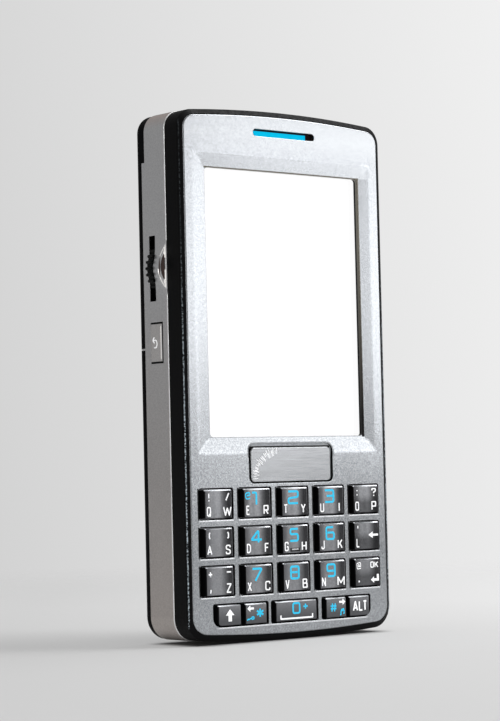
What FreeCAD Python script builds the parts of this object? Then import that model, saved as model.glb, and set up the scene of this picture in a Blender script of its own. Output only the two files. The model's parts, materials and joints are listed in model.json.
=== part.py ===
import FreeCAD
import Part
import math
import os

# Keyboard phone, modelled standing on its lower edge.
# X runs to the right seen from the front, Y from the front to the back, Z up along the length.
# The origin is the middle of the bounding box at its lowest level. All sizes are millimetres.

V = FreeCAD.Vector

# Overall body
body_width = 54.6
body_height = 107.6
body_depth = 15.0
bow_low = 330.0
bow_high = 300.0
corner_low = 4.8
corner_high = 3.9

# Crowned front face
crown_rise = 0.42
fascia_side_margin = 1.2
fascia_low = 1.2
fascia_top_margin = 1.2
fascia_corner_low = 3.6
fascia_corner_high = 2.7
fascia_edge = 0.9
fascia_seat_gap = 0.05
fascia_round = 0.3

# Shells, measured along the depth
rim_depth = 4.56
rim_inset = 0.12
rim_slope = (1.2, 0.62)
rim_round = 0.15
rim_wall = 1.2
floor_thickness = 0.6
rear_shell_depth = 2.44
rear_inset = 0.1
rear_round = 1.6
shell_wall = 1.2
band_wall = 1.4
band_chamfer = 0.12
inner_gap = 0.15
seam_gap = 0.1
cap_seam_margin = 10.9
cap_reach = 0.94

# Display
window_half = 20.57
window_low = 41.1
window_top_margin = 12.52
window_corner = 0.8
bevel_side = 3.2
bevel_end_high = 2.95
bevel_end_low = 3.25
bevel_depth = 0.5
display_border = 1.9
gasket_thickness = 0.3
touch_thickness = 0.8
lcd_thickness = 1.8
tray_thickness = 0.2
tray_wall = 0.3
window_clearance = 0.1
flex_width = 10.0
flex_thickness = 0.2
flex_turn = 0.7
flex_above_keypad = 2.6

# Nameplate
plate_half = 10.62
plate_low = 31.92
plate_high = 38.85
plate_corner = 0.9
pocket_half = 11.26
pocket_low = 31.6
pocket_high = 39.58
pocket_corner = 1.38
plate_pocket_floor = 0.25
plate_sink = 0.04
plate_edge = 0.1

# Earpiece
slot_half = 8.25
slot_height = 1.5
slot_top_margin = 4.68
grille_recess = 1.25
grille_flange = 0.6
grille_flange_thickness = 0.5
grille_fit = 0.05
speaker_length = 15.0
speaker_height = 5.6
speaker_drop = 1.3

# Upper keys
key_columns = 5
key_pitch_x = 9.9
key_rows_z = (27.8, 20.17, 12.54)
opening_width = 8.7
opening_height = 6.38
opening_corner = 0.5
opening_chamfer = 0.22
chamfer_overhangs = (0.44, 0.4, 0.36, 0.32, 0.28)
key_face_width = 7.1
key_face_height = 5.72
key_draft = 0.2
key_proud = 0.7
key_face_dip = 0.35
key_edge_round = 0.3
key_face_chamfer = 0.24
key_flange_side = 0.5
key_flange_end = 0.3
key_flange_gap = 0.3
key_flange_thickness = 0.3
key_flange_corner = 0.5
lattice_gap = 0.18
rib_radius = 0.5
rib_fit = 0.04
rib_end_gap = 0.2
pin_radius = 0.6
pin_offset = 2.6
dome_gap = 0.2
press_travel = 0.3
home_bar = (2.1, 0.4, 0.12)
home_bar_above_edge = 0.7

# Lower keys: opening ends, then the face ends of the keys inside it
lower_row_z = 5.68
lower_opening_height = 4.74
lower_face_height = 4.1
lower_proud = 0.55
lower_face_crown = 0.05
lower_corner = 2.0
lower_key_corner = 0.3
lower_key_outer_corner = 1.4
lower_groups = (
    ((-21.2, -6.95), (("shift", -20.35, -14.4), ("star", -13.5, -7.8))),
    ((-6.45, 6.35), (("zero", -5.6, 5.5),)),
    ((7.15, 21.1), (("hash", 8.0, 13.65), ("alt", 14.55, 20.25))),
)

# Key mat, domes and keypad board
mat_thickness = 1.55
mat_rail = 1.2
dome_hole_radius = 1.7
dome_radius = 1.5
dome_height = 0.35
dome_sheet_thickness = 0.2
keypad_board_thickness = 1.0
keypad_top = 33.4

# Chassis and main board
chassis_thickness = 0.8
board_standoff = 1.0
board_thickness = 1.0
board_left = 24.8
board_right = 18.9
board_low = 6.8
board_top_margin = 3.2
board_corner = 1.5
post_radius = 1.5
low_posts = ((-22.4, 12.0), (-22.4, 50.0), (16.6, 60.9), (14.6, 9.0))
high_posts = (-20.6, 16.6)
high_post_drop = 6.0
screw_head_radius = 1.4
screw_head_height = 0.8
screw_shank_radius = 0.75
screw_fit = 0.05
screw_slot = (1.8, 0.3, 0.4)
screw_tip_gap = 0.6
boss_radius = 1.6
screw_low = (24.0, 36.2)
screw_high = (22.2, 4.7)

# Battery and its bay
battery_width = 34.0
battery_height = 54.0
battery_thickness = 4.0
battery_low = 3.6
battery_fit = 0.2
battery_corner = 1.2
battery_cover_gap = 0.18
bay_wall = 0.9
bay_floor = 0.6
bay_lip_gap = 1.2
battery_cover_height = 59.06
hook_depth = 0.9
hook_thickness = 0.8
hook_length = 5.0
hook_offset = 15.0
hook_seat_gap = 0.35
strut_low = 1.2
strut_high = 3.0
strut_depth = 0.8
grip_count = 4
grip_pitch = 1.6
grip_half = 6.5
grip_width = 0.7
grip_depth = 0.3
grip_below_seam = 7.0

# Rear frame
frame_ribs_z = (10.0, 31.0, 51.0)
rib_thickness = 0.9
foot_radius = 1.3
foot_places = ((-20.4, 30.0), (-20.4, 6.4), (20.9, 30.0), (20.9, 6.4))
foot_hole_gap = 0.3
ledge_width = 3.0
frame_cutout_x = -22.0

# Battery contacts
contact_x = -9.0
contact_half = 4.0
contact_height = 1.6
contact_gap = 0.1
contact_notch = 0.7
contact_fingers = 4
contact_pitch = 1.8
finger_width = 0.8

# Card holder and memory card socket
card_size = (25.0, 15.0, 0.76)
holder_wall = 1.0
card_fit = 0.12
card_above_battery_low = 20.0
card_corner = 3.0
holder_frame = 1.2
holder_bridge = 3.0
socket_size = (14.0, 1.6, 13.0)
socket_x = 4.2
socket_above_seam = 1.6
socket_wall = 0.8

# Stylus and its silo
stylus_radius = 1.45
stylus_x = 21.4
stylus_cap_gap = 0.25
stylus_length = 95.0
stylus_fit = 0.08
silo_wall = 0.45
stylus_tip = 4.0
stylus_tip_radius = 0.5
stylus_crown_round = 0.4
stylus_sink = 0.15
stylus_ring_drops = (2.6, 4.0, 5.4)
silo_low = 8.0
silo_top_margin = 6.2
silo_web = 1.2

# Jog wheel on the left side
wheel_radius = 6.0
wheel_proud = 1.2
wheel_thickness = 1.6
wheel_teeth = 28
tooth_depth = 0.45
wheel_above_seam = 16.1
wheel_depth = 9.2
wheel_slot_width = 2.0
wheel_slot_half = 6.6
axle_radius = 1.0
axle_fit = 0.05
wheel_side_gap = 0.25
fork_thickness = 0.5
fork_half = 2.6
fork_nose = 1.7
fork_bridge = 1.2
jog_switch_width = 2.0
jog_switch_gap = 0.1
fork_wheel_gap = 0.5
jog_travel = 0.4
hump_half = 5.4
hump_round = 8.5
hump_rear = 0.06
hump_rear_share = 0.8
hump_slope = 0.6
trim_lip = 0.12
trim_side = -0.25
trim_half = 3.0
trim_depth = 1.3
trim_sink = 0.15
trim_fit = 0.05

# Back key on the left side
back_key_front = 6.4
back_key_rear = 10.2
back_key_half = 3.95
back_key_above_seam = 1.14
back_key_groove = 0.2
back_key_thickness = 1.0
bead_radius = 0.4
bead_fit = 0.05
bead_share = 0.55
back_key_stem = 8.2
back_key_stem_half = 1.0
back_switch_height = 1.7
back_switch_half = 1.6

# Side key on the right and power key on the top
side_key_half = 6.0
side_key_width = 2.6
side_key_proud = 1.2
side_key_above_seam = 15.0
side_key_travel = 0.4
side_switch_gap = 0.17
power_key_x = -16.0
power_key_half = 4.0
power_key_width = 2.6
power_key_proud = 0.35
key_slot_gap = 0.15
side_controls_depth = 8.9
side_key_round = 0.6
power_key_round = 0.35
control_flange = 0.5
control_flange_thickness = 0.45
control_flange_gap = 0.15
control_stem_half = 0.7
control_stem_width = 1.0
control_switch_half = 1.6
side_stem_reach = 1.75
power_flange_gap = 0.35
power_stem_gap = 0.45

# Lower end: connector and microphone
connector_half = 13.2
connector_front = 5.6
connector_back = 8.4
connector_height = 5.6
connector_sink = 0.5
connector_wall = 0.5
connector_cavity = 4.0
connector_tongue = 0.7
connector_fit = 0.15
connector_frame_fit = 0.2
connector_pads = 11
connector_pad_pitch = 2.0
connector_tongue_margin = 2.0
microphone_x = 18.6
microphone_radius = 1.4
microphone_height = 1.5
microphone_port = 0.5
microphone_depth = 6.9

# Small modules on the main board
can_height = 1.6
can_wall = 0.25
can_round = 0.2
can_switch_gap = 1.3
can_far_left = -23.8
can_middle = 2.6
can_right = 18.2
can_rows = (8.4, 14.8, 15.6, 23.0, 24.6)
can_top_gap = 9.6
motor_radius = 2.0
motor_length = 9.0
motor_shaft = 0.4
weight_length = 2.7
weight_fit = 0.04
motor_above_seam = 4.2
motor_start = -10.5
motor_lift = 0.2
weight_gap = 0.4
weight_hub = 0.45
loudspeaker_size = (17.0, 11.0)
loudspeaker_top_margin = 18.2
loudspeaker_well = (10.8, 8.0, 0.6)
loudspeaker_corner = 2.0
grille_slots = 5
grille_slot_height = 0.6
grille_slot_pitch = 1.5
grille_slot_length = 9.0
antenna_ends = (-22.6, 17.2)
antenna_depth = 2.6
antenna_wall = 1.2
antenna_skin = 0.8
antenna_top_gap = 1.9

# Levels worked out from the sizes above
half_width = body_width / 2
total_depth = body_depth + key_proud
face_y = key_proud + crown_rise - total_depth / 2
crown_y = face_y - crown_rise
back_y = crown_y + body_depth
fascia_half = half_width - fascia_side_margin
crown_radius = (fascia_half ** 2 + crown_rise ** 2) / (2 * crown_rise)
fascia_back = face_y + fascia_edge
tray_border = display_border - 0.2
floor_back = fascia_back + floor_thickness
rim_back = face_y + rim_depth
band_back = back_y - rear_shell_depth
inner_back = back_y - shell_wall
window_high = body_height - window_top_margin
slot_z = body_height - slot_top_margin
cap_seam = body_height - cap_seam_margin
cap_front = band_back - cap_reach
touch_front = floor_back + gasket_thickness
lcd_front = touch_front + touch_thickness
tray_floor = lcd_front + lcd_thickness
chassis_front = tray_floor + tray_thickness
chassis_back = chassis_front + chassis_thickness
board_front = chassis_back + board_standoff
board_back = board_front + board_thickness
board_top = body_height - board_top_margin
keypad_board_front = chassis_front - keypad_board_thickness
dome_sheet_front = keypad_board_front - dome_sheet_thickness
mat_front = dome_sheet_front - mat_thickness
dome_apex = dome_sheet_front - dome_height
pin_end = dome_apex - dome_gap
press_pin_end = dome_apex - press_travel - dome_gap / 3
pivot_y = mat_front
flange_front = fascia_back + key_flange_gap
flange_back = flange_front + key_flange_thickness
battery_back = inner_back - battery_cover_gap
battery_front = battery_back - battery_thickness
holder_height = card_size[2] + 2 * card_fit
bay_floor_back = battery_front - holder_height
bay_floor_front = bay_floor_back - bay_floor
bay_half = battery_width / 2 + battery_fit + bay_wall
bay_low = battery_low - battery_fit - bay_wall
bay_high = battery_low + battery_height + battery_fit + bay_wall
stylus_y = cap_front - stylus_cap_gap - stylus_radius
wheel_y = face_y + wheel_depth
wheel_x = wheel_radius - wheel_proud - half_width
wheel_z = battery_cover_height + wheel_above_seam
back_key_z = battery_cover_height + back_key_above_seam
side_key_z = battery_cover_height + side_key_above_seam
controls_y = face_y + side_controls_depth
microphone_y = face_y + microphone_depth
fork_reach = wheel_x + wheel_radius + fork_wheel_gap
jog_switch_x = fork_reach + fork_bridge + jog_travel + jog_switch_gap
can_left = jog_switch_x + jog_switch_width + can_switch_gap
card_z = battery_low + card_above_battery_low
contact_z = battery_low + battery_height + battery_fit + contact_gap
loudspeaker_z = body_height - loudspeaker_top_margin
motor_y = board_back + motor_radius + motor_lift
motor_z = battery_cover_height + motor_above_seam


class Outline:
    """A plate outline in the XZ plane: straight sides, bowed ends and round corners."""

    def __init__(self, half, low, high, r_low, r_high, bow_l, bow_h):
        self.half = half
        self.low = low
        self.high = high
        self.r_low = r_low
        self.r_high = r_high
        self.bow_l = bow_l
        self.bow_h = bow_h

    def inset(self, t):
        return Outline(
            self.half - t,
            self.low + t,
            self.high - t,
            max(self.r_low - t, 0.2),
            max(self.r_high - t, 0.2),
            self.bow_l - t,
            self.bow_h - t,
        )

    def end_points(self, level, bow, r, up):
        """Corner start, corner middle and corner end on the right-hand side of one end."""
        centre = V(0, 0, level - up * bow)
        rise = math.sqrt((bow - r) ** 2 - (self.half - r) ** 2)
        corner = V(self.half - r, 0, centre.z + up * rise)
        away = (corner - centre).normalize()
        middle = (away + V(1, 0, 0)).normalize()
        return centre + away * bow, corner + middle * r, V(self.half, 0, corner.z)

    def prism(self, y0, y1):
        top = self.end_points(self.high, self.bow_h, self.r_high, 1)
        low = self.end_points(self.low, self.bow_l, self.r_low, -1)

        def left(p):
            return V(-p.x, p.y, p.z)

        edges = [
            Part.Arc(left(top[0]), V(0, 0, self.high), top[0]).toShape(),
            Part.Arc(top[0], top[1], top[2]).toShape(),
            Part.makeLine(top[2], low[2]),
            Part.Arc(low[2], low[1], low[0]).toShape(),
            Part.Arc(low[0], V(0, 0, self.low), left(low[0])).toShape(),
            Part.Arc(left(low[0]), left(low[1]), left(low[2])).toShape(),
            Part.makeLine(left(low[2]), left(top[2])),
            Part.Arc(left(top[2]), left(top[1]), left(top[0])).toShape(),
        ]
        face = Part.Face(Part.Wire(edges))
        face.translate(V(0, y0, 0))
        return face.extrude(V(0, y1 - y0, 0))


body = Outline(half_width, -rear_inset, body_height, corner_low, corner_high, bow_low, bow_high)
fascia = Outline(
    fascia_half,
    fascia_low,
    body_height - fascia_top_margin,
    fascia_corner_low,
    fascia_corner_high,
    bow_low,
    bow_high,
)


def box(x0, x1, y0, y1, z0, z1):
    return Part.makeBox(x1 - x0, y1 - y0, z1 - z0, V(x0, y0, z0))


def rod(radius, start, end):
    along = end - start
    return Part.makeCylinder(radius, along.Length, start, along)


def rounded_wire(x0, x1, y, z0, z1, radii):
    """A rectangle in the XZ plane; radii go lower left, lower right, upper right, upper left."""
    corners = (
        (x0, z0, 1, 1, 180),
        (x1, z0, -1, 1, 270),
        (x1, z1, -1, -1, 0),
        (x0, z1, 1, -1, 90),
    )
    points = []
    for (x, z, sx, sz, start), r in zip(corners, radii):
        arc = []
        for turn in (0, 45, 90):
            angle = math.radians(start + turn)
            arc.append(V(x + sx * r + r * math.cos(angle), y, z + sz * r + r * math.sin(angle)))
        points.append(arc)
    edges = []
    for i in range(4):
        a, b, c = points[i]
        edges.append(Part.Arc(a, b, c).toShape())
        start_next = points[(i + 1) % 4][0]
        edges.append(Part.makeLine(c, start_next))
    return Part.Wire(edges)


def pad(x0, x1, y0, y1, z0, z1, r, radii=None):
    """A flat block with round corners in the XZ plane."""
    wire = rounded_wire(x0, x1, y0, z0, z1, radii or (r, r, r, r))
    return Part.Face(wire).extrude(V(0, y1 - y0, 0))


def crowned(shape):
    """The part of a shape that lies behind the crowned front face."""
    big = Part.makeCylinder(crown_radius, body_height + 20, V(0, crown_y + crown_radius, -10))
    return shape.common(big)


def crown_at(x):
    return crown_y + crown_radius - math.sqrt(crown_radius ** 2 - x ** 2)


def solid_of(shape):
    """The one solid that a boolean operation leaves."""
    if len(shape.Solids) != 1:
        raise ValueError("expected one solid, got %d" % len(shape.Solids))
    return shape.Solids[0]


def fuse(first, *others):
    return first.multiFuse(list(others)).removeSplitter() if others else first


def edges_at(shape, test):
    return [e for e in shape.Edges if test(e)]


def front_edges(shape):
    """The edges round a crowned front face."""
    return edges_at(shape, lambda e: e.BoundBox.YMax < face_y + 0.2)


def opening_chamfer_tool(x0, x1, z0, z1, radii, overhang):
    """The chamfer round the mouth of an opening, set square to the crowned face."""
    middle = (x0 + x1) / 2
    half = (x1 - x0) / 2
    deep = 1.5 * opening_chamfer
    low_radii = [r - deep for r in radii]
    high_radii = [r + overhang for r in radii]
    small = rounded_wire(-half + deep, half - deep, deep, z0 + deep, z1 - deep, low_radii)
    large = rounded_wire(
        -half - overhang, half + overhang, -overhang, z0 - overhang, z1 + overhang, high_radii
    )
    tool = Part.makeLoft([small, large], True, True)
    tool.rotate(V(0, 0, 0), V(0, 0, 1), math.degrees(math.asin(middle / crown_radius)))
    tool.translate(V(middle, crown_at(middle), 0))
    return tool


def cut_opening(plate, x0, x1, z0, z1, radii):
    """One key opening: a straight hole with a chamfered mouth.

    The overhang lies in front of the plate. It is changed until the cut takes hold.
    """
    c = opening_chamfer
    inner = [r - c for r in radii]
    front = crown_y - 1
    back = fascia_back + 1
    plate = plate.cut(pad(x0 + c, x1 - c, front, back, z0 + c, z1 - c, 0, inner))
    for overhang in chamfer_overhangs:
        tool = opening_chamfer_tool(x0, x1, z0, z1, radii, overhang)
        result = plate.cut(tool)
        if result.Volume < plate.Volume - c ** 3:
            return result
    raise ValueError("an opening between %.2f and %.2f could not be chamfered" % (x0, x1))


def key_column_x(column):
    return (column - (key_columns - 1) / 2) * key_pitch_x


def lower_radii(index):
    """The outer lower corners of the lower openings are well rounded."""
    r = opening_corner
    if index == 0:
        return (lower_corner, r, r, r)
    if index == 2:
        return (r, lower_corner, r, r)
    return (r, r, r, r)


def cut_key_openings(plate):
    r = opening_corner
    half_x = opening_width / 2
    half_z = opening_height / 2
    for z in key_rows_z:
        for column in range(key_columns):
            x = key_column_x(column)
            plate = cut_opening(plate, x - half_x, x + half_x, z - half_z, z + half_z, (r, r, r, r))
    low = lower_row_z - lower_opening_height / 2
    high = lower_row_z + lower_opening_height / 2
    for index, (ends, keys) in enumerate(lower_groups):
        plate = cut_opening(plate, ends[0], ends[1], low, high, lower_radii(index))
    return plate


def bevel_tools():
    """Four sloping cuts with mitred corners that lead down to the display window."""
    outer_x = window_half + bevel_side
    top = window_high + bevel_end_high
    low = window_low - bevel_end_low
    mid = (window_high + window_low) / 2
    outer = (V(-outer_x, 0, low), V(outer_x, 0, low), V(outer_x, 0, top), V(-outer_x, 0, top))
    inner = (
        V(-window_half, 0, window_low),
        V(window_half, 0, window_low),
        V(window_half, 0, window_high),
        V(-window_half, 0, window_high),
    )

    def wedge(i):
        j = (i + 1) % 4
        centre = V(0, 0, mid)
        shrink_i = inner[i] + (centre - inner[i]) * 0.02
        shrink_j = inner[j] + (centre - inner[j]) * 0.02
        ring = [outer[i], outer[j], shrink_j, shrink_i, outer[i]]
        face = Part.Face(Part.makePolygon(ring))
        face.translate(V(0, crown_y - 1, 0))
        return face.extrude(V(0, 4, 0))

    def end_cut(z_start, reach):
        edge = outer_x + 1
        arc = Part.Arc(
            V(-edge, crown_at(edge), z_start), V(0, crown_y, z_start), V(edge, crown_at(edge), z_start)
        ).toShape()
        above = crown_y - 3
        rest = Part.makePolygon(
            [
                V(edge, crown_at(edge), z_start),
                V(edge, above, z_start),
                V(-edge, above, z_start),
                V(-edge, crown_at(edge), z_start),
            ]
        )
        face = Part.Face(Part.Wire([arc] + rest.Edges))
        return face.extrude(V(0, bevel_depth * 1.5, reach * 1.5))

    def side_cut(side):
        start = V(side * outer_x, crown_at(outer_x), low - 1)
        end = V(side * window_half, crown_at(window_half) + bevel_depth, low - 1)
        past = end + (end - start) * 0.3
        above = crown_y - 3
        ring = [
            start,
            past,
            V(past.x, above, low - 1),
            V(start.x, above, low - 1),
            start,
        ]
        return Part.Face(Part.makePolygon(ring)).extrude(V(0, 0, top - low + 2))

    return [
        end_cut(low, bevel_end_low).common(wedge(0)),
        side_cut(1).common(wedge(1)),
        end_cut(top, -bevel_end_high).common(wedge(2)),
        side_cut(-1).common(wedge(3)),
    ]


def make_front_fascia():
    plate = crowned(fascia.prism(crown_y - 1, fascia_back))
    plate = plate.makeFillet(fascia_round, front_edges(plate))
    front = crown_y - 1
    back = fascia_back + 1
    r = slot_height / 2
    pocket_floor = face_y + plate_pocket_floor
    tools = bevel_tools()
    tools.append(pad(-window_half, window_half, front, back, window_low, window_high, window_corner))
    tools.append(pad(-slot_half, slot_half, front, back, slot_z - r, slot_z + r, r * 0.999))
    tools.append(pad(-pocket_half, pocket_half, front, pocket_floor, pocket_low, pocket_high, pocket_corner))
    for tool in tools:
        plate = plate.cut(tool)
    return solid_of(cut_key_openings(plate))


def make_nameplate():
    """A plate in the shallow pocket below the window; its face follows the crown."""
    pocket_floor = face_y + plate_pocket_floor
    block = pad(-plate_half, plate_half, crown_y - 1, pocket_floor, plate_low, plate_high, plate_corner)
    sunk = Part.makeCylinder(crown_radius, body_height, V(0, crown_y + plate_sink + crown_radius, 0))
    plate = block.common(sunk)
    front_rim = edges_at(plate, lambda e: e.BoundBox.YMax < pocket_floor - 0.2)
    return solid_of(plate.makeChamfer(plate_edge, front_rim))


def boss_places():
    top = body_height - screw_high[1]
    low_x, low_z = screw_low
    return ((-low_x, low_z), (low_x, low_z), (-screw_high[0], top), (screw_high[0], top))


def make_front_cover():
    outer = crowned(body.inset(rim_inset).prism(crown_y - 1, rim_back))
    across, deep = rim_slope
    outer = outer.makeChamfer(deep, across, front_edges(outer))
    high = crown_y + deep - 0.01
    low = face_y + deep + 0.1
    ridge = edges_at(outer, lambda e: e.BoundBox.YMin > high and e.BoundBox.YMax < low)
    outer = outer.makeFillet(rim_round, ridge)
    tray = fascia.inset(-fascia_seat_gap).prism(crown_y - 1, fascia_back)
    cavity = body.inset(rim_inset + rim_wall).prism(floor_back, rim_back + 1)
    cover = outer.cut([tray, cavity])
    front = fascia_back - 1
    back = floor_back + 1
    tools = [
        pad(
            -window_half - window_clearance,
            window_half + window_clearance,
            front,
            back,
            window_low - window_clearance,
            window_high + window_clearance,
            window_corner,
        )
    ]
    r = slot_height / 2
    tools.append(pad(-slot_half, slot_half, front, back, slot_z - r, slot_z + r, r * 0.999))
    side = key_face_width / 2 + key_draft + key_flange_side + lattice_gap
    end = key_face_height / 2 + key_flange_end + lattice_gap
    for z in key_rows_z:
        for column in range(key_columns):
            x = key_column_x(column)
            tools.append(box(x - side, x + side, front, back, z - end, z + end))
    end = lower_face_height / 2 + key_flange_end + lattice_gap
    for ends, keys in lower_groups:
        tools.append(box(ends[0], ends[1], front, back, lower_row_z - end, lower_row_z + end))
    cover = cover.cut(tools)
    bosses = []
    holes = []
    for x, z in boss_places():
        bosses.append(rod(boss_radius, V(x, floor_back - 0.1, z), V(x, chassis_front, z)))
        holes.append(rod(screw_shank_radius + screw_fit, V(x, floor_back, z), V(x, chassis_front, z)))
    return solid_of(fuse(cover, *bosses).cut(holes))


def key_section(z, width, edge, dip):
    """The cross-section of a key above its flange. The middle of its face lies a dip behind its edges."""
    half = width / 2
    base = half + key_draft
    r = key_edge_round
    turn = r * (1 - math.sqrt(0.5))
    start = V(-half + r, edge, z)
    end = V(half - r, edge, z)
    right = V(half, edge + r, z)
    left = V(-half, edge + r, z)
    edges = [
        Part.Arc(start, V(0, edge + dip, z), end).toShape(),
        Part.Arc(end, V(half - turn, edge + turn, z), right).toShape(),
        Part.makeLine(right, V(base, flange_front, z)),
        Part.makeLine(V(base, flange_front, z), V(-base, flange_front, z)),
        Part.makeLine(V(-base, flange_front, z), left),
        Part.Arc(left, V(-half + turn, edge + turn, z), start).toShape(),
    ]
    return Part.Wire(edges)


def key_block(x, z, width, height, proud, dip, radii=None):
    """The part of a key above its flange: drafted sides, bowed face and chamfered ends."""
    top = crown_at(x) - proud
    half = height / 2
    low = key_face_chamfer / 2
    high = key_face_chamfer
    sections = [
        key_section(z - half, width, top + low, dip),
        key_section(z - half + low, width, top, dip),
        key_section(z + half - high, width, top, dip),
        key_section(z + half, width, top + high, dip),
    ]
    block = Part.makeLoft(sections, True, True)
    block.translate(V(x, 0, 0))
    if radii:
        side = width / 2 + key_draft
        mask = pad(x - side, x + side, top - 1, flange_front + 1, z - half, z + half, 0, radii)
        block = block.common(mask)
    return block


def make_rocker_key(x, z):
    """A key with a letter on each side: it rocks on an upright rib over two domes."""
    block = key_block(x, z, key_face_width, key_face_height, key_proud, key_face_dip)
    side = key_face_width / 2 + key_draft + key_flange_side
    end = key_face_height / 2 + key_flange_end
    corner = key_flange_corner
    flange = pad(x - side, x + side, flange_front, flange_back, z - end, z + end, corner)
    rib_half = key_face_height / 2
    rib = rod(rib_radius, V(x, pivot_y, z - rib_half), V(x, pivot_y, z + rib_half))
    pins = []
    for s in (-1, 1):
        px = x + s * pin_offset
        pins.append(rod(pin_radius, V(px, flange_back - 0.1, z), V(px, pin_end, z)))
    return solid_of(fuse(block, flange, rib, *pins))


def make_press_key(x0, x1, radii):
    """A lower key that is pressed straight in."""
    x = (x0 + x1) / 2
    z = lower_row_z
    top = lower_proud - lower_face_crown
    block = key_block(x, z, x1 - x0, lower_face_height, top, -lower_face_crown, radii)
    end = lower_face_height / 2 + key_flange_end
    flange = box(x0 - key_draft, x1 + key_draft, flange_front, flange_back, z - end, z + end)
    pin = rod(pin_radius, V(x, flange_back - 0.1, z), V(x, press_pin_end, z))
    return solid_of(fuse(block, flange, pin))


def make_keys():
    names = (
        ("key_qw", "key_er", "key_ty", "key_ui", "key_op"),
        ("key_as", "key_df", "key_gh", "key_jk", "key_l_back"),
        ("key_z", "key_xc", "key_vb", "key_nm", "key_enter"),
    )
    keys = {}
    for row, z in zip(names, key_rows_z):
        for column, name in enumerate(row):
            keys[name] = make_rocker_key(key_column_x(column), z)
    length, height, rise = home_bar
    x = key_column_x(2)
    z = key_rows_z[1] - key_face_height / 2 + home_bar_above_edge
    y = crown_at(x) - key_proud + key_face_dip
    half = length / 2
    rise_half = height / 2
    round_end = rise_half * 0.95
    bar = pad(x - half, x + half, y - rise, y + 0.3, z - rise_half, z + rise_half, round_end)
    keys["key_gh"] = solid_of(fuse(keys["key_gh"], bar))
    r = lower_key_corner
    corners = {
        "shift": (lower_key_outer_corner, r, r, r),
        "alt": (r, lower_key_outer_corner, r, r),
    }
    for ends, group in lower_groups:
        for name, x0, x1 in group:
            keys["key_" + name] = make_press_key(x0, x1, corners.get(name))
    return keys


def dome_places():
    places = []
    for z in key_rows_z:
        for column in range(key_columns):
            for s in (-1, 1):
                places.append((key_column_x(column) + s * pin_offset, z))
    for ends, keys in lower_groups:
        for name, x0, x1 in keys:
            places.append(((x0 + x1) / 2, lower_row_z))
    return places


def keypad_plate(y0, y1):
    """A plate that fills the inside of the front cover up to the top of the keypad."""
    plate = body.inset(rim_inset + rim_wall + inner_gap).prism(y0, y1)
    return plate.common(box(-half_width, half_width, y0 - 1, y1 + 1, -1, keypad_top))


def make_key_mat():
    mat = keypad_plate(mat_front, dome_sheet_front)
    tools = []
    for x, z in dome_places():
        tools.append(rod(dome_hole_radius, V(x, mat_front - 1, z), V(x, dome_sheet_front + 1, z)))
    half = key_face_height / 2 + rib_end_gap
    for z in key_rows_z:
        for column in range(key_columns):
            x = key_column_x(column)
            tools.append(rod(rib_radius + rib_fit, V(x, pivot_y, z - half), V(x, pivot_y, z + half)))
    mat = mat.cut(tools)
    rail_low = keypad_top - mat_rail
    rail = box(-half_width, half_width, floor_back, mat_front + 0.1, rail_low, keypad_top)
    inside = body.inset(rim_inset + rim_wall + inner_gap).prism(floor_back, mat_front + 1)
    return solid_of(fuse(mat, rail.common(inside)))


def make_dome_sheet():
    sheet = keypad_plate(dome_sheet_front, keypad_board_front)
    ball = (dome_radius ** 2 + dome_height ** 2) / (2 * dome_height)
    domes = []
    w = dome_radius + 0.5
    for x, z in dome_places():
        sphere = Part.makeSphere(ball, V(x, dome_apex + ball, z))
        slab = box(x - w, x + w, dome_apex - 1, dome_sheet_front + 0.05, z - w, z + w)
        domes.append(sphere.common(slab))
    return solid_of(fuse(sheet, *domes))


def make_keypad_board():
    return keypad_plate(keypad_board_front, chassis_front)


def display_pad(y0, y1, grow, r=1.0):
    """A block as large as the window and a border round it."""
    half = window_half + grow
    return pad(-half, half, y0, y1, window_low - grow, window_high + grow, r)


def make_display_tray():
    outer = display_pad(lcd_front, chassis_front, tray_border, 0.8)
    inner = display_pad(lcd_front - 1, tray_floor, tray_border - tray_wall, 0.5)
    side = flex_width / 2 + 2
    depth = 4 * flex_thickness
    exit_slot = box(-side, side, tray_floor - depth, tray_floor, window_low - 4, window_low)
    return solid_of(outer.cut([inner, exit_slot]))


def make_display_flex():
    """A folded strip from the display through the chassis to the main board."""
    x = -flex_width / 2
    top_z = window_low - display_border + 0.5
    low_z = keypad_top + flex_above_keypad
    front = tray_floor - 3 * flex_thickness
    outer = flex_turn
    inner = flex_turn - flex_thickness
    turn_y = front + outer
    turn_z = low_z + outer
    slant = math.sqrt(0.5)
    edges = [
        Part.makeLine(V(x, front, top_z), V(x, front, turn_z)),
        Part.Arc(
            V(x, front, turn_z),
            V(x, turn_y - outer * slant, turn_z - outer * slant),
            V(x, turn_y, low_z),
        ).toShape(),
        Part.makeLine(V(x, turn_y, low_z), V(x, board_front, low_z)),
        Part.makeLine(V(x, board_front, low_z), V(x, board_front, low_z + flex_thickness)),
        Part.makeLine(V(x, board_front, low_z + flex_thickness), V(x, turn_y, low_z + flex_thickness)),
        Part.Arc(
            V(x, turn_y, low_z + flex_thickness),
            V(x, turn_y - inner * slant, turn_z - inner * slant),
            V(x, front + flex_thickness, turn_z),
        ).toShape(),
        Part.makeLine(V(x, front + flex_thickness, turn_z), V(x, front + flex_thickness, top_z)),
        Part.makeLine(V(x, front + flex_thickness, top_z), V(x, front, top_z)),
    ]
    return Part.Face(Part.Wire(edges)).extrude(V(flex_width, 0, 0))


def post_places():
    """Where the chassis posts carry the main board."""
    return low_posts + tuple((x, board_top - high_post_drop) for x in high_posts)


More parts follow.
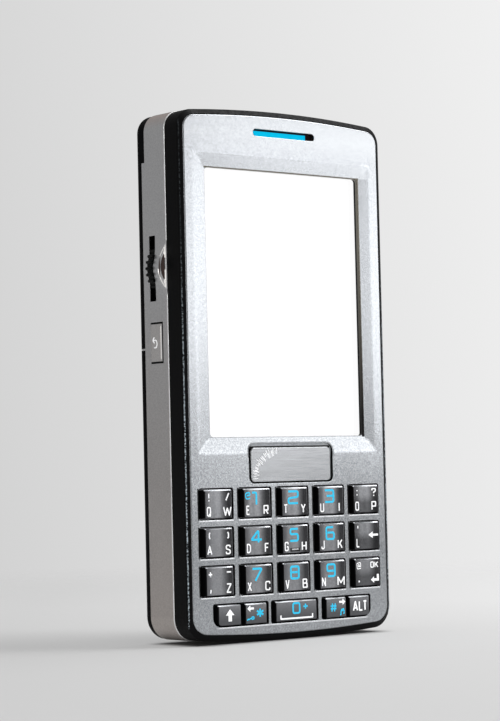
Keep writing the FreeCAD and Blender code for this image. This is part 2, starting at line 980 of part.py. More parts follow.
def make_chassis():
    plate = body.inset(band_wall + inner_gap).prism(chassis_front, chassis_back)
    posts = []
    for x, z in post_places():
        posts.append(rod(post_radius, V(x, chassis_back - 0.1, z), V(x, board_front, z)))
    plate = fuse(plate, *posts)
    side = flex_width / 2 + 0.6
    low = keypad_top + flex_above_keypad - 0.6
    front = chassis_front - 1
    back = chassis_back + 1
    tools = [box(-side, side, front, back, low, low + 1.6)]
    for x, z in boss_places():
        tools.append(rod(screw_shank_radius + screw_fit, V(x, front, z), V(x, back, z)))
    return solid_of(plate.cut(tools))


def make_frame_screws():
    length, width, depth = screw_slot
    top = chassis_back + screw_head_height
    screws = []
    for x, z in boss_places():
        head = rod(screw_head_radius, V(x, chassis_back, z), V(x, top, z))
        shank = rod(screw_shank_radius, V(x, floor_back + screw_tip_gap, z), V(x, chassis_back + 0.1, z))
        cross = []
        for half_x, half_z in ((length / 2, width / 2), (width / 2, length / 2)):
            cross.append(box(x - half_x, x + half_x, top - depth, top + 1, z - half_z, z + half_z))
        screws.append(solid_of(fuse(head, shank).cut(cross)))
    return Part.makeCompound(screws)


def hump_wire(y, rise, half, shift=0.0):
    """A smooth swelling of the left side, seen along the depth."""
    side = -half_width + shift
    turn = 2 * math.atan2(rise, half)
    total = half / math.sin(turn)
    convex = min(hump_round, total * 0.7)
    concave = total - convex
    a = V(side, y, wheel_z - half)
    m1 = V(side - concave * (1 - math.cos(turn / 2)), y, wheel_z - half + concave * math.sin(turn / 2))
    b = V(side - concave * (1 - math.cos(turn)), y, wheel_z - half + concave * math.sin(turn))
    apex = V(side - rise, y, wheel_z)
    c = V(b.x, y, 2 * wheel_z - b.z)
    m2 = V(m1.x, y, 2 * wheel_z - m1.z)
    d = V(side, y, wheel_z + half)
    back = side + band_wall * 0.5
    edges = [
        Part.Arc(a, m1, b).toShape(),
        Part.Arc(b, apex, c).toShape(),
        Part.Arc(c, m2, d).toShape(),
        Part.makeLine(d, V(back, y, wheel_z + half)),
        Part.makeLine(V(back, y, wheel_z + half), V(back, y, wheel_z - half)),
        Part.makeLine(V(back, y, wheel_z - half), a),
    ]
    return Part.Wire(edges)


def lens_block(y0, y1, shrink):
    """The lens-shaped pocket in the front end of the swelling, or the piece that fills it."""
    side = trim_side - half_width - shrink
    rise = wheel_proud - trim_lip + trim_side - 2 * shrink
    half = trim_half - shrink
    arc = Part.Arc(
        V(side, y0, wheel_z - half), V(side - rise, y0, wheel_z), V(side, y0, wheel_z + half)
    ).toShape()
    line = Part.makeLine(V(side, y0, wheel_z + half), V(side, y0, wheel_z - half))
    return Part.Face(Part.Wire([arc, line])).extrude(V(0, y1 - y0, 0))


def slope_tool(shift):
    """What lies in front of the sloping front end of the swelling, moved back by a shift."""
    start = rim_back + shift
    steep = hump_slope / wheel_proud
    inside = 1.0
    outside = 2 * wheel_proud
    corners = [
        V(inside - half_width, start - inside * steep, 0),
        V(-outside - half_width, start + outside * steep, 0),
        V(-outside - half_width, start - outside, 0),
        V(inside - half_width, start - outside, 0),
    ]
    face = Part.Face(Part.makePolygon(corners + [corners[0]]))
    face.translate(V(0, 0, wheel_z - hump_half - 1))
    return face.extrude(V(0, 0, 2 * hump_half + 2))


def back_key_tools():
    """The opening of the back key in the band: a slot with a round seat for its bead."""
    g = back_key_groove
    y0 = face_y + back_key_front - g
    y1 = face_y + back_key_rear + bead_fit
    z0 = back_key_z - back_key_half - g
    z1 = back_key_z + back_key_half + g
    slot = box(-half_width - 2, -half_width + band_wall + 1, y0, y1, z0, z1)
    axis_x = -half_width + back_key_thickness * bead_share
    axis_y = face_y + back_key_rear
    seat = rod(bead_radius + bead_fit, V(axis_x, axis_y, z0), V(axis_x, axis_y, z1))
    return [slot, seat]


def connector_block(grow, z0, z1):
    front = face_y + connector_front
    back = face_y + connector_back
    return pad(-connector_half - grow, connector_half + grow, front - grow, back + grow, z0, z1, 0.2)


def band_tools():
    """Everything that is cut out of the side band."""
    r = wheel_slot_width / 2
    side = half_width
    wheel_slot = box(
        -side - 3,
        -side + 3,
        wheel_y - r,
        wheel_y + r,
        wheel_z - wheel_slot_half,
        wheel_z + wheel_slot_half,
    )
    cap_seat = box(-side - 3, side + 3, cap_front, band_back + 1, cap_seam, body_height + 1)
    g = key_slot_gap
    w = side_key_width / 2 + g
    h = side_key_half + g
    side_slot = box(side - 3, side + 3, controls_y - w, controls_y + w, side_key_z - h, side_key_z + h)
    w = power_key_width / 2 + g
    h = power_key_half + g
    top = body_height
    power_slot = box(power_key_x - h, power_key_x + h, controls_y - w, controls_y + w, top - 4, top + 2)
    stylus_hole = rod(
        stylus_radius + stylus_fit, V(stylus_x, stylus_y, top - 6), V(stylus_x, stylus_y, top + 2)
    )
    port = rod(microphone_port, V(microphone_x, microphone_y, -1), V(microphone_x, microphone_y, 5))
    return [
        body.inset(band_wall).prism(rim_back - 1, band_back + 1),
        wheel_slot,
        lens_block(rim_back - 1, rim_back + trim_depth, 0),
        cap_seat,
        *back_key_tools(),
        side_slot,
        power_slot,
        stylus_hole,
        connector_block(connector_fit, -1, 4),
        port,
    ]


def make_side_band():
    ring = body.prism(rim_back, band_back)
    loop = edges_at(ring, lambda e: e.BoundBox.YMax < rim_back + 0.01)
    ring = ring.makeChamfer(band_chamfer, loop)
    front_section = hump_wire(rim_back, wheel_proud, hump_half)
    rear_section = hump_wire(band_back, hump_rear, hump_half * hump_rear_share)
    hump = Part.makeLoft([front_section, rear_section], True, True).cut(slope_tool(0))
    return solid_of(fuse(ring, hump).cut(band_tools()))


def make_jog_trim():
    block = lens_block(rim_back, rim_back + trim_depth, trim_fit)
    return solid_of(block.cut(slope_tool(trim_sink)))


def make_jog_wheel():
    """A toothed wheel on an axle that runs along the depth."""
    step = 2 * math.pi / wheel_teeth
    y0 = wheel_y - wheel_thickness / 2
    inner = wheel_radius - tooth_depth
    tooth = ((-0.32, inner), (-0.14, wheel_radius), (0.14, wheel_radius), (0.32, inner))
    points = []
    for i in range(wheel_teeth):
        for share, radius in tooth:
            angle = math.pi + (i + share) * step
            points.append(V(wheel_x + radius * math.cos(angle), y0, wheel_z + radius * math.sin(angle)))
    face = Part.Face(Part.makePolygon(points + [points[0]]))
    wheel = face.extrude(V(0, wheel_thickness, 0))
    bore = rod(axle_radius + axle_fit, V(wheel_x, y0 - 1, wheel_z), V(wheel_x, y0 + 3, wheel_z))
    return solid_of(wheel.cut(bore))


def make_jog_carrier():
    """A fork that holds the wheel's axle and slides inwards when the wheel is pressed."""
    near = wheel_y - wheel_thickness / 2 - wheel_side_gap - fork_thickness
    far = wheel_y + wheel_thickness / 2 + wheel_side_gap
    back = far + fork_thickness
    inside = fork_reach + fork_bridge
    z0 = wheel_z - fork_half
    z1 = wheel_z + fork_half
    arms = []
    for y in (near, far):
        arms.append(box(wheel_x - fork_nose, inside, y, y + fork_thickness, z0, z1))
    bridge = box(fork_reach, inside, near, back, z0, z1)
    axle = rod(axle_radius, V(wheel_x, near, wheel_z), V(wheel_x, back, wheel_z))
    return solid_of(fuse(bridge, axle, *arms))


def make_back_key():
    """A side key that tips inwards about a round bead along its rear edge."""
    outer = -half_width
    inner = outer + back_key_thickness
    y0 = face_y + back_key_front
    y1 = face_y + back_key_rear
    z0 = back_key_z - back_key_half
    z1 = back_key_z + back_key_half
    plate = box(outer, inner, y0, y1 - bead_radius, z0, z1)
    axis_x = outer + back_key_thickness * bead_share
    bead = rod(bead_radius, V(axis_x, y1, z0), V(axis_x, y1, z1))
    neck_x = (axis_x - bead_radius * 0.9, axis_x + bead_radius * 0.6)
    neck_y = y1 - bead_radius - 0.1
    neck = box(neck_x[0], neck_x[1], neck_y, y1, z0, z1)
    cheek = box(outer, axis_x, neck_y, y1, z0, z1)
    stem_y = face_y + back_key_stem
    half = back_key_stem_half
    stem = box(
        inner - 0.1,
        inner + 2 * half - 1,
        stem_y - half / 2,
        stem_y + half / 2,
        back_key_z - half,
        back_key_z + half,
    )
    return solid_of(fuse(plate, bead, neck, cheek, stem))


def make_side_key():
    w = side_key_width / 2
    h = side_key_half
    f = control_flange
    s = control_stem_half
    tip = half_width + side_key_proud
    inside = half_width - band_wall
    flange_out = inside - control_flange_gap
    flange_in = flange_out - control_flange_thickness
    stem_in = inside - side_stem_reach
    z = side_key_z
    cap = box(flange_out - 0.15, tip, controls_y - w, controls_y + w, z - h, z + h)
    rounded = edges_at(cap, lambda e: e.BoundBox.XMin > tip - 0.01)
    cap = cap.makeFillet(side_key_round, rounded)
    w += f
    h += f
    flange = box(flange_in, flange_out, controls_y - w, controls_y + w, z - h, z + h)
    half = control_stem_width
    stem = box(stem_in, flange_out - 0.1, controls_y - s, controls_y + s, z - half, z + half)
    return solid_of(fuse(cap, flange, stem))


def make_power_key():
    w = power_key_width / 2
    f = control_flange
    s = control_stem_half
    x0 = power_key_x - power_key_half
    x1 = power_key_x + power_key_half
    drop = power_key_x ** 2 / (2 * bow_high)
    top = body_height - drop + power_key_proud
    flange_top = body_height - drop - band_wall - power_flange_gap
    flange_low = flange_top - control_flange_thickness
    cap = box(x0, x1, controls_y - w, controls_y + w, flange_top - 0.3, top)
    rounded = edges_at(cap, lambda e: e.BoundBox.ZMin > top - 0.01)
    cap = cap.makeFillet(power_key_round, rounded)
    flange = box(x0 - f, x1 + f, controls_y - w - f, controls_y + w + f, flange_low, flange_top)
    half = control_stem_width
    stem = box(
        power_key_x - half,
        power_key_x + half,
        controls_y - s,
        controls_y + s,
        board_top + power_stem_gap,
        flange_top - 0.3,
    )
    return solid_of(fuse(cap, flange, stem))


def make_stylus():
    drop = stylus_x ** 2 / (2 * bow_high)
    top = body_height - drop - stylus_sink
    low = top - stylus_length
    shaft = rod(stylus_radius, V(stylus_x, stylus_y, low + stylus_tip), V(stylus_x, stylus_y, top))
    crown_edge = edges_at(shaft, lambda e: e.BoundBox.ZMin > top - 0.01)
    shaft = shaft.makeFillet(stylus_crown_round, crown_edge)
    tip = Part.makeCone(stylus_tip_radius, stylus_radius, stylus_tip, V(stylus_x, stylus_y, low))
    rings = []
    for ring_drop in stylus_ring_drops:
        rings.append(Part.makeTorus(stylus_radius + 0.1, 0.25, V(stylus_x, stylus_y, top - ring_drop)))
    return solid_of(fuse(shaft, tip).cut(rings))


def bay_block(y0, y1, z0, z1):
    """A block as wide as the inside of the battery bay."""
    half = battery_width / 2 + battery_fit
    return box(-half, half, y0, y1, z0, z1)


def make_rear_frame():
    """The inner rear frame: battery bay, stylus silo and the feet that stand on the chassis."""
    inside = body.inset(band_wall + inner_gap)
    lower = box(-half_width, half_width, face_y, back_y, -1, battery_cover_height)
    floor = inside.prism(bay_floor_front, bay_floor_back).common(lower)
    front = bay_floor_front
    lip = band_back - bay_lip_gap
    wall = box(-bay_half, bay_half, front, lip, bay_low, bay_high)
    silo_radius = stylus_radius + stylus_fit + silo_wall
    silo_top = body_height - silo_top_margin
    silo = rod(silo_radius, V(stylus_x, stylus_y, silo_low), V(stylus_x, stylus_y, silo_top))
    web = box(bay_half - 0.2, stylus_x, front, front + silo_web, silo_low, bay_high)
    left_end = -half_width + band_wall + 0.4
    ribs = []
    for z in frame_ribs_z:
        ribs.append(box(left_end, 0.1 - bay_half, front, lip, z, z + rib_thickness))
        ribs.append(box(bay_half - 0.1, stylus_x, front, lip, z, z + rib_thickness))
    switch_out = half_width - band_wall - side_stem_reach - side_key_travel - side_switch_gap
    half = control_switch_half
    switch = box(
        stylus_x + silo_radius - 0.8,
        switch_out,
        controls_y - control_stem_width,
        controls_y + control_stem_width,
        side_key_z - half,
        side_key_z + half,
    )
    feet = []
    for x, z in foot_places:
        feet.append(rod(foot_radius, V(x, chassis_back, z), V(x, front + 0.1, z)))
    frame = fuse(floor, wall, silo, web, switch, *ribs, *feet)

    bay_start = battery_low - battery_fit
    bay_end = battery_low + battery_height + battery_fit
    bore_low = V(stylus_x, stylus_y, silo_low + 1)
    bore_high = V(stylus_x, stylus_y, body_height)
    frame = frame.cut(
        [
            bay_block(bay_floor_back, back_y, bay_start, bay_end),
            rod(stylus_radius + stylus_fit, bore_low, bore_high),
        ]
    )
    w = ledge_width
    ledges = []
    for z in (bay_start, bay_end - w):
        ledges.append(bay_block(bay_floor_back, battery_front, z, z + w))
    frame = fuse(frame, *ledges)

    notch = contact_half + contact_notch
    notch_x = (contact_x - notch, contact_x + notch)
    mic_r = microphone_radius + 0.3
    cutout_low = back_key_z - back_key_half - 1.5
    tools = [
        connector_block(connector_frame_fit, -1, connector_sink + connector_height + 0.3),
        box(-half_width, frame_cutout_x, face_y, back_y, cutout_low, body_height),
        box(notch_x[0], notch_x[1], face_y, battery_back - 1.5, bay_end - 0.1, bay_high + 2),
        box(notch_x[0], notch_x[1], face_y, battery_front, bay_high - 5.5, bay_high + 2),
        rod(mic_r, V(microphone_x, microphone_y, 0), V(microphone_x, microphone_y, 4.2)),
    ]
    return solid_of(frame.cut(tools))


def rear_shell(y0):
    """The whole rear shell before it is split into its three covers."""
    outline = body.inset(rear_inset)
    outer = outline.prism(y0, back_y)
    loop = edges_at(outer, lambda e: e.BoundBox.YMin > back_y - 0.01)
    outer = outer.makeFillet(rear_round, loop)
    hollow = outline.inset(shell_wall).prism(y0 - 1, inner_back)
    return outer.cut(hollow)


def slice_z(shape, z0, z1):
    return shape.common(box(-half_width - 5, half_width + 5, face_y - 5, back_y + 5, z0, z1))


def make_battery_cover():
    gap = seam_gap
    cover = slice_z(rear_shell(band_back + gap), -1, battery_cover_height - gap / 2)
    inner_low = rear_inset + shell_wall
    half = hook_length / 2
    catches = []
    for x in (-hook_offset, hook_offset):
        bow = (abs(x) + half) ** 2 / (2 * bow_low)
        low = inner_low + bow + hook_seat_gap
        high = low + hook_thickness
        catches.append(box(x - half, x + half, band_back - hook_depth, inner_back, low, high))
        strut_front = inner_back - strut_depth
        catches.append(box(x - half, x + half, strut_front, inner_back + 0.1, strut_low, strut_high))
    grip = []
    r = grip_width / 2
    for i in range(grip_count):
        z = battery_cover_height - grip_below_seam - i * grip_pitch
        grip.append(pad(-grip_half, grip_half, back_y - grip_depth, back_y + 1, z - r, z + r, r * 0.98))
    return solid_of(fuse(cover, *catches).cut(grip))


def make_rear_cover():
    gap = seam_gap
    cover = slice_z(rear_shell(band_back), battery_cover_height + gap / 2, cap_seam - gap / 2)
    slots = []
    for i in range(grille_slots):
        z = loudspeaker_z + (i - (grille_slots - 1) / 2) * grille_slot_pitch
        half = grille_slot_length / 2
        r = grille_slot_height / 2
        slots.append(pad(-half, half, inner_back - 1, back_y + 1, z - r, z + r, r * 0.99))
    return solid_of(cover.cut(slots))


def make_rear_top_cap():
    gap = seam_gap
    cap = slice_z(rear_shell(cap_front), cap_seam + gap / 2, body_height + 1)
    return solid_of(cap)


def make_main_board():
    """The main board with the switches behind the back key, the wheel and the power key."""
    board = box(-board_left, board_right, board_front, board_back, board_low, board_top)
    corners = edges_at(board, lambda e: e.BoundBox.YLength > board_thickness - 0.01)
    board = board.makeFillet(board_corner, corners)
    base = board_back - 0.1
    half = back_switch_half
    back_switch = box(
        -board_left + 0.6,
        -board_left + 2.6,
        base,
        board_back + back_switch_height,
        back_key_z - half,
        back_key_z + half,
    )
    button_y = face_y + back_key_stem
    button = rod(0.6, V(-board_left, button_y, back_key_z), V(-board_left + 0.8, button_y, back_key_z))
    half = control_switch_half + 0.2
    jog_switch = box(
        jog_switch_x,
        jog_switch_x + jog_switch_width,
        base,
        board_back + 2.2,
        wheel_z - half,
        wheel_z + half,
    )
    half = control_switch_half
    power_switch = box(
        power_key_x - half,
        power_key_x + half,
        base,
        controls_y + 0.8,
        board_top - 2.2,
        board_top,
    )
    board = fuse(board, back_switch, button, jog_switch, power_switch)
    holes = []
    for x, z in foot_places:
        if x < 0:
            holes.append(rod(foot_radius + foot_hole_gap, V(x, board_front - 1, z), V(x, board_back + 1, z)))
    return solid_of(board.cut(holes))


def make_can(x0, x1, z0, z1):
    t = can_wall
    top = board_back + can_height
    outer = box(x0, x1, board_back, top, z0, z1)
    inner = box(x0 + t, x1 - t, board_back - 1, top - t, z0 + t, z1 - t)
    top_edges = edges_at(outer, lambda e: e.BoundBox.YMin > top - 0.01)
    return solid_of(outer.makeFillet(can_round, top_edges).cut(inner))


def make_shield_cans():
    rows = [battery_cover_height + z for z in can_rows]
    cans = [
        make_can(can_left, can_middle, rows[0], rows[1]),
        make_can(can_left, can_right, rows[2], rows[3]),
        make_can(can_far_left, can_right, rows[4], board_top - can_top_gap),
    ]
    return Part.makeCompound(cans)


def make_battery():
    half = battery_width / 2
    top = battery_low + battery_height
    block = box(-half, half, battery_front, battery_back, battery_low, top)
    long_edges = edges_at(block, lambda e: e.BoundBox.ZLength > 10)
    block = block.makeFillet(battery_corner, long_edges)
    x0 = contact_x - contact_half
    x1 = contact_x + contact_half
    window = box(x0, x1, battery_front + 0.8, battery_front + 2.4, top - 0.4, top + 1)
    return solid_of(block.cut(window))


def make_battery_contacts():
    """A small block on the main board with spring fingers against the battery."""
    x0 = contact_x - contact_half
    x1 = contact_x + contact_half
    block = box(x0, x1, board_back, battery_front + 2.8, contact_z, contact_z + contact_height)
    front = battery_front + 1.2
    fingers = []
    for i in range(contact_fingers):
        x = contact_x + (i - (contact_fingers - 1) / 2) * contact_pitch - finger_width / 2
        fingers.append(
            box(x, x + finger_width, front, front + finger_width, contact_z - 0.25, contact_z + 0.1)
        )
    return solid_of(fuse(block, *fingers))


def make_system_connector():
    """The connector shell in the lower end, with a tongue and its row of contacts."""
    z0 = connector_sink
    z1 = connector_sink + connector_height
    w = connector_wall
    front = face_y + connector_front + w
    back = face_y + connector_back - w
    half = connector_half - w
    end = z0 + connector_cavity
    cavity = box(-half, half, front, back, z0 - 1, end)
    middle = (front + back) / 2
    t = connector_tongue / 2
    tongue_half = connector_half - connector_tongue_margin
    tongue = box(-tongue_half, tongue_half, middle - t, middle + t, z0 + 0.6, end + 0.1)
    pads = []
    pad_half = connector_pad_pitch / 4
    for i in range(connector_pads):
        x = (i - (connector_pads - 1) / 2) * connector_pad_pitch
        pads.append(box(x - pad_half, x + pad_half, middle - t - 0.08, middle, z0 + 0.8, end))
    seat_half = connector_half + 1
    seat = box(-seat_half, seat_half, board_front - 0.02, board_back + 0.02, board_low - 0.1, z1 + 5)
    return solid_of(fuse(connector_block(0, z0, z1).cut(cavity), tongue, *pads).cut(seat))


def make_microphone():
    x = microphone_x
    y = microphone_y
    low = band_wall + x ** 2 / (2 * bow_low) + 0.2
    can = rod(microphone_radius, V(x, y, low), V(x, y, low + microphone_height))
    port = rod(microphone_port * 0.8, V(x, y, low - 1), V(x, y, low + 0.4))
    return solid_of(can.cut(port))


def make_earpiece_grille():
    r = slot_height / 2 - grille_fit
    half = slot_half - grille_fit
    front = crown_y + grille_recess
    stem = pad(-half, half, front, floor_back + 0.1, slot_z - r, slot_z + r, r * 0.999)
    flange_end = floor_back + grille_flange_thickness
    half += grille_flange
    r += grille_flange
    flange = pad(-half, half, floor_back, flange_end, slot_z - r, slot_z + r, r * 0.99)
    return solid_of(fuse(stem, flange))


def make_earpiece_speaker():
    z = slot_z - speaker_drop
    half = speaker_length / 2
    rise = speaker_height / 2
    front = floor_back + grille_flange_thickness
    return pad(-half, half, front, chassis_front, z - rise, z + rise, rise * 0.6)


def make_display_gasket():
    outer = display_pad(floor_back, touch_front, display_border)
    inner = display_pad(floor_back - 1, touch_front + 1, 0.35, window_corner)
    return solid_of(outer.cut(inner))


def make_sim_holder():
    """A shallow guide on the bay floor, open towards the lower end."""
    w, h, t = card_size
    half = w / 2
    outer = half + holder_wall
    block = box(-outer, outer, bay_floor_back, battery_front, card_z, card_z + h + holder_wall)
    front = bay_floor_back - 1
    fit = half + card_fit
    slot = box(-fit, fit, front, battery_front - card_fit, card_z - 1, card_z + h + card_fit)
    side = half - holder_frame
    window = box(-side, side, front, back_y, card_z - 1, card_z + h - holder_bridge)
    return solid_of(block.cut([slot, window]))


def make_sim_card():
    w, h, t = card_size
    y0 = bay_floor_back
    side = w / 2
    inner = side - card_corner
    card = box(-side, side, y0, y0 + t, card_z, card_z + h)
    ring = [
        V(inner, y0 - 1, card_z - 1),
        V(side + 1, y0 - 1, card_z - 1),
        V(side + 1, y0 - 1, card_z + card_corner + 1),
        V(inner, y0 - 1, card_z - 1),
    ]
    corner = Part.Face(Part.makePolygon(ring)).extrude(V(0, t + 2, 0))
    return solid_of(card.cut(corner))


def make_memory_card_socket():
    sx, sy, sz = socket_size
    x0 = socket_x
    x1 = x0 + sx
    z0 = battery_cover_height + socket_above_seam
    y1 = board_back + sy
    w = socket_wall
    shell = box(x0, x1, board_back, y1, z0, z0 + sz)
    mouth = box(x0 + w, x1 - w, board_back + 0.3, y1 - 0.25, z0 - 1, z0 + sz - w)
    return solid_of(shell.cut(mouth))


def make_antenna():
    """A plastic carrier with its metal film, held under the rear top cap."""
    x0, x1 = antenna_ends
    w = antenna_wall
    top = body_height - band_wall - antenna_top_gap
    low = cap_seam + 0.8
    front = inner_back - antenna_depth
    carrier = box(x0, x1, front, inner_back, low, top)
    hollow = box(x0 + w, x1 - w, front - 0.1, inner_back - antenna_skin, low + w, top - w)
    return solid_of(carrier.cut(hollow))


def make_loudspeaker():
    w, h = loudspeaker_size
    z = loudspeaker_z
    corner = loudspeaker_corner
    front = board_back + can_height
    base = pad(-w / 2, w / 2, front, inner_back, z - h / 2, z + h / 2, corner)
    w, h, depth = loudspeaker_well
    well = pad(-w / 2, w / 2, inner_back - depth, inner_back + 1, z - h / 2, z + h / 2, corner)
    return solid_of(base.cut(well))


def make_vibration_motor():
    x0 = motor_start
    x1 = x0 + motor_length
    tip = x1 + weight_gap + weight_length + 0.3
    r = motor_radius
    can = rod(r, V(x0, motor_y, motor_z), V(x1, motor_y, motor_z))
    shaft = rod(motor_shaft, V(x1 - 0.1, motor_y, motor_z), V(tip, motor_y, motor_z))
    cradle = box(x0 + 1.5, x1 - 1.5, board_back, motor_y, motor_z - r, motor_z + r)
    return solid_of(fuse(can, shaft, cradle))


def make_vibration_weight():
    """The off-centre weight that spins on the motor's shaft."""
    x0 = motor_start + motor_length + weight_gap
    start = V(x0, motor_y, motor_z)
    end = V(x0 + weight_length, motor_y, motor_z)
    disc = rod(motor_radius, start, end)
    r = motor_radius + 1
    lower = box(start.x - 1, end.x + 1, motor_y - r, motor_y + r, motor_z - r, motor_z)
    hub = rod(motor_shaft + weight_hub, start, end)
    over = V(1, 0, 0)
    bore = rod(motor_shaft + weight_fit, start - over, end + over)
    return solid_of(fuse(disc.common(lower), hub).cut(bore))


def make_parts():
    parts = {
        "front_cover": make_front_cover(),
        "front_fascia": make_front_fascia(),
        "nameplate": make_nameplate(),
        "earpiece_grille": make_earpiece_grille(),
        "earpiece_speaker": make_earpiece_speaker(),
        "display_gasket": make_display_gasket(),
        "touch_panel": display_pad(touch_front, lcd_front, display_border),
        "lcd_module": display_pad(lcd_front, tray_floor, tray_border - tray_wall, 0.5),
        "display_tray": make_display_tray(),
        "display_flex": make_display_flex(),
        "key_mat": make_key_mat(),
        "dome_sheet": make_dome_sheet(),
        "keypad_board": make_keypad_board(),
        "chassis": make_chassis(),
        "frame_screws": make_frame_screws(),
        "side_band": make_side_band(),
        "jog_trim": make_jog_trim(),
        "jog_wheel": make_jog_wheel(),
        "jog_carrier": make_jog_carrier(),
        "back_key": make_back_key(),
        "side_key": make_side_key(),
        "power_key": make_power_key(),
        "stylus": make_stylus(),
        "rear_frame": make_rear_frame(),
        "battery_cover": make_battery_cover(),
        "rear_cover": make_rear_cover(),
        "rear_top_cap": make_rear_top_cap(),
        "main_board": make_main_board(),
        "shield_cans": make_shield_cans(),
        "battery": make_battery(),
        "battery_contacts": make_battery_contacts(),
        "system_connector": make_system_connector(),
        "microphone": make_microphone(),
        "sim_holder": make_sim_holder(),
        "sim_card": make_sim_card(),
        "memory_card_socket": make_memory_card_socket(),
        "antenna": make_antenna(),
        "loudspeaker": make_loudspeaker(),
        "vibration_motor": make_vibration_motor(),
        "vibration_weight": make_vibration_weight(),
    }
    parts.update(make_keys())
    return parts


os.makedirs("parts", exist_ok=True)
for name, shape in make_parts().items():
    shape.exportStep("parts/" + name + ".step")
    print(name, len(shape.Solids), "solid", "%.1f mm3" % shape.Volume)
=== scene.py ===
import json
import math
import random
import bmesh
import bpy
from mathutils import Matrix, Quaternion, Vector
from mathutils.bvhtree import BVHTree


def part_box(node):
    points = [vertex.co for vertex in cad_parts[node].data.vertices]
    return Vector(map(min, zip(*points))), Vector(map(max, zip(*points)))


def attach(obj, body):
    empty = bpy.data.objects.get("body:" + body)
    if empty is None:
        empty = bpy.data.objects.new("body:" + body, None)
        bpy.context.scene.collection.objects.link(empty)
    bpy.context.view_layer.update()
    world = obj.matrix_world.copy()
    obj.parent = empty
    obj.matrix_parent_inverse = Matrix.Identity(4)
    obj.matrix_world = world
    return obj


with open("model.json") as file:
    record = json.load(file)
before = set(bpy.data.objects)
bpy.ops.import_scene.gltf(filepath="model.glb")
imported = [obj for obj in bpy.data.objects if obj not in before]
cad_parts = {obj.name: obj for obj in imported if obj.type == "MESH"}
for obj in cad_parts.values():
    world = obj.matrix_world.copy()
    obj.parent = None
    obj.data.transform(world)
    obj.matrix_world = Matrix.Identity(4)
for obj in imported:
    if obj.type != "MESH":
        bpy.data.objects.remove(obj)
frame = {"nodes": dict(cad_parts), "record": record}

bpy.context.view_layer.update()
nodes = frame["nodes"]
scene = bpy.context.scene
MM = 0.001


# Camera of the photograph: focal length in pixels, place in mm, then yaw, pitch and roll in degrees

PHOTO_HEIGHT = 721
FOCAL_LENGTH = 2322.579
CAMERA_PLACE = (-309.379, -366.724, 34.577)
CAMERA_ANGLES = (-39.739, 2.677, -1.318)
SENSOR_WIDTH = 36.0


def make_camera():
    """Adds the camera and returns the direction it looks in."""
    yaw, pitch, roll = (math.radians(a) for a in CAMERA_ANGLES)
    ahead = Vector((-math.sin(yaw), math.cos(yaw), 0))
    right = Vector((math.cos(yaw), math.sin(yaw), 0))
    up = Vector((0, 0, 1))
    look = ahead * math.cos(pitch) + up * math.sin(pitch)
    lift = up * math.cos(pitch) - ahead * math.sin(pitch)
    side = right * math.cos(roll) + lift * math.sin(roll)
    top = lift * math.cos(roll) - right * math.sin(roll)
    data = bpy.data.cameras.new("camera")
    data.sensor_fit = "AUTO"
    data.sensor_width = SENSOR_WIDTH
    data.lens = FOCAL_LENGTH * SENSOR_WIDTH / PHOTO_HEIGHT
    data.clip_start = 0.01
    data.clip_end = 50
    cam = bpy.data.objects.new("camera", data)
    turn = Matrix((side, top, -look)).transposed().to_4x4()
    cam.matrix_world = Matrix.Translation(Vector(CAMERA_PLACE) * MM) @ turn
    scene.collection.objects.link(cam)
    scene.camera = cam
    return look


LOOK = make_camera()


# Places on the phone, in mm, from the frame

def box(name):
    """Low and high corner of a CAD node at rest."""
    return [[v / MM for v in corner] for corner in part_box(name)]


def middle(name):
    """The middle of a CAD node's box at rest."""
    return [(low + high) / 2 for low, high in zip(*box(name))]


# The crowned face, which falls by the rise from its middle to its sides
FACE_FRONT = box("front_fascia")[0][1]
FACE_SIDE = box("front_fascia")[1][0]
CROWN_RISE = 0.42

# The black cover and the band behind it
COVER_SIDE = box("front_cover")[1][0]
BAND_FRONT = box("side_band")[0][1]
BAND_SIDE = box("side_band")[1][0]

# The earpiece, the nameplate, and the display's window, which the glass overlaps by its border
EAR_MIDDLE = middle("earpiece_grille")[2]
PLATE_SIDE = box("nameplate")[1][0]
PLATE_TOP = box("nameplate")[1][2]
GLASS_BORDER = 1.9
WINDOW_SIDE = box("touch_panel")[1][0] - GLASS_BORDER
WINDOW_LOW = box("touch_panel")[0][2] + GLASS_BORDER
WINDOW_TOP = box("touch_panel")[1][2] - GLASS_BORDER
WINDOW_MIDDLE = (WINDOW_LOW + WINDOW_TOP) / 2

# The field of the letter keys, five across and three up, the lower row, and the middle key's bar
FIELD_MIDDLE = middle("key_gh")[2]
PITCH_X = middle("key_jk")[0] - middle("key_gh")[0]
PITCH_Z = middle("key_ty")[2] - FIELD_MIDDLE
FIELD_SIDE = 2.5 * PITCH_X
FIELD_HALF = 1.5 * PITCH_Z
LOWER_KEYS_LOW = box("key_zero")[0][2]
HOME_BAR = box("key_gh")[0][2] + 1.0

# Heights of the back key, the trim and the seam across the back
BACK_KEY_MIDDLE = middle("back_key")[2]
TRIM_MIDDLE = middle("jog_trim")[2] + 0.04
SEAM = (box("battery_cover")[1][2] + box("rear_cover")[0][2]) / 2


# Node helpers

def feed(tree, socket, value):
    """Links a socket to another one, or sets its constant."""
    if isinstance(value, bpy.types.NodeSocket):
        tree.links.new(value, socket)
    else:
        socket.default_value = value


def add(tree, kind, **values):
    """A node with its properties and inputs set. An input goes by its name, or by i and its number."""
    node = tree.nodes.new(kind)
    settings = [key for key in values if hasattr(node, key)]
    for key in settings:
        setattr(node, key, values[key])
    for key, value in values.items():
        if key in settings:
            continue
        numbered = key[0] == "i" and key[1:].isdigit()
        feed(tree, node.inputs[int(key[1:]) if numbered else key.replace("_", " ")], value)
    return node


def math_node(tree, operation, a, b=0.0):
    return add(tree, "ShaderNodeMath", operation=operation, i0=a, i1=b).outputs[0]


def absolute(tree, value):
    return math_node(tree, "ABSOLUTE", value)


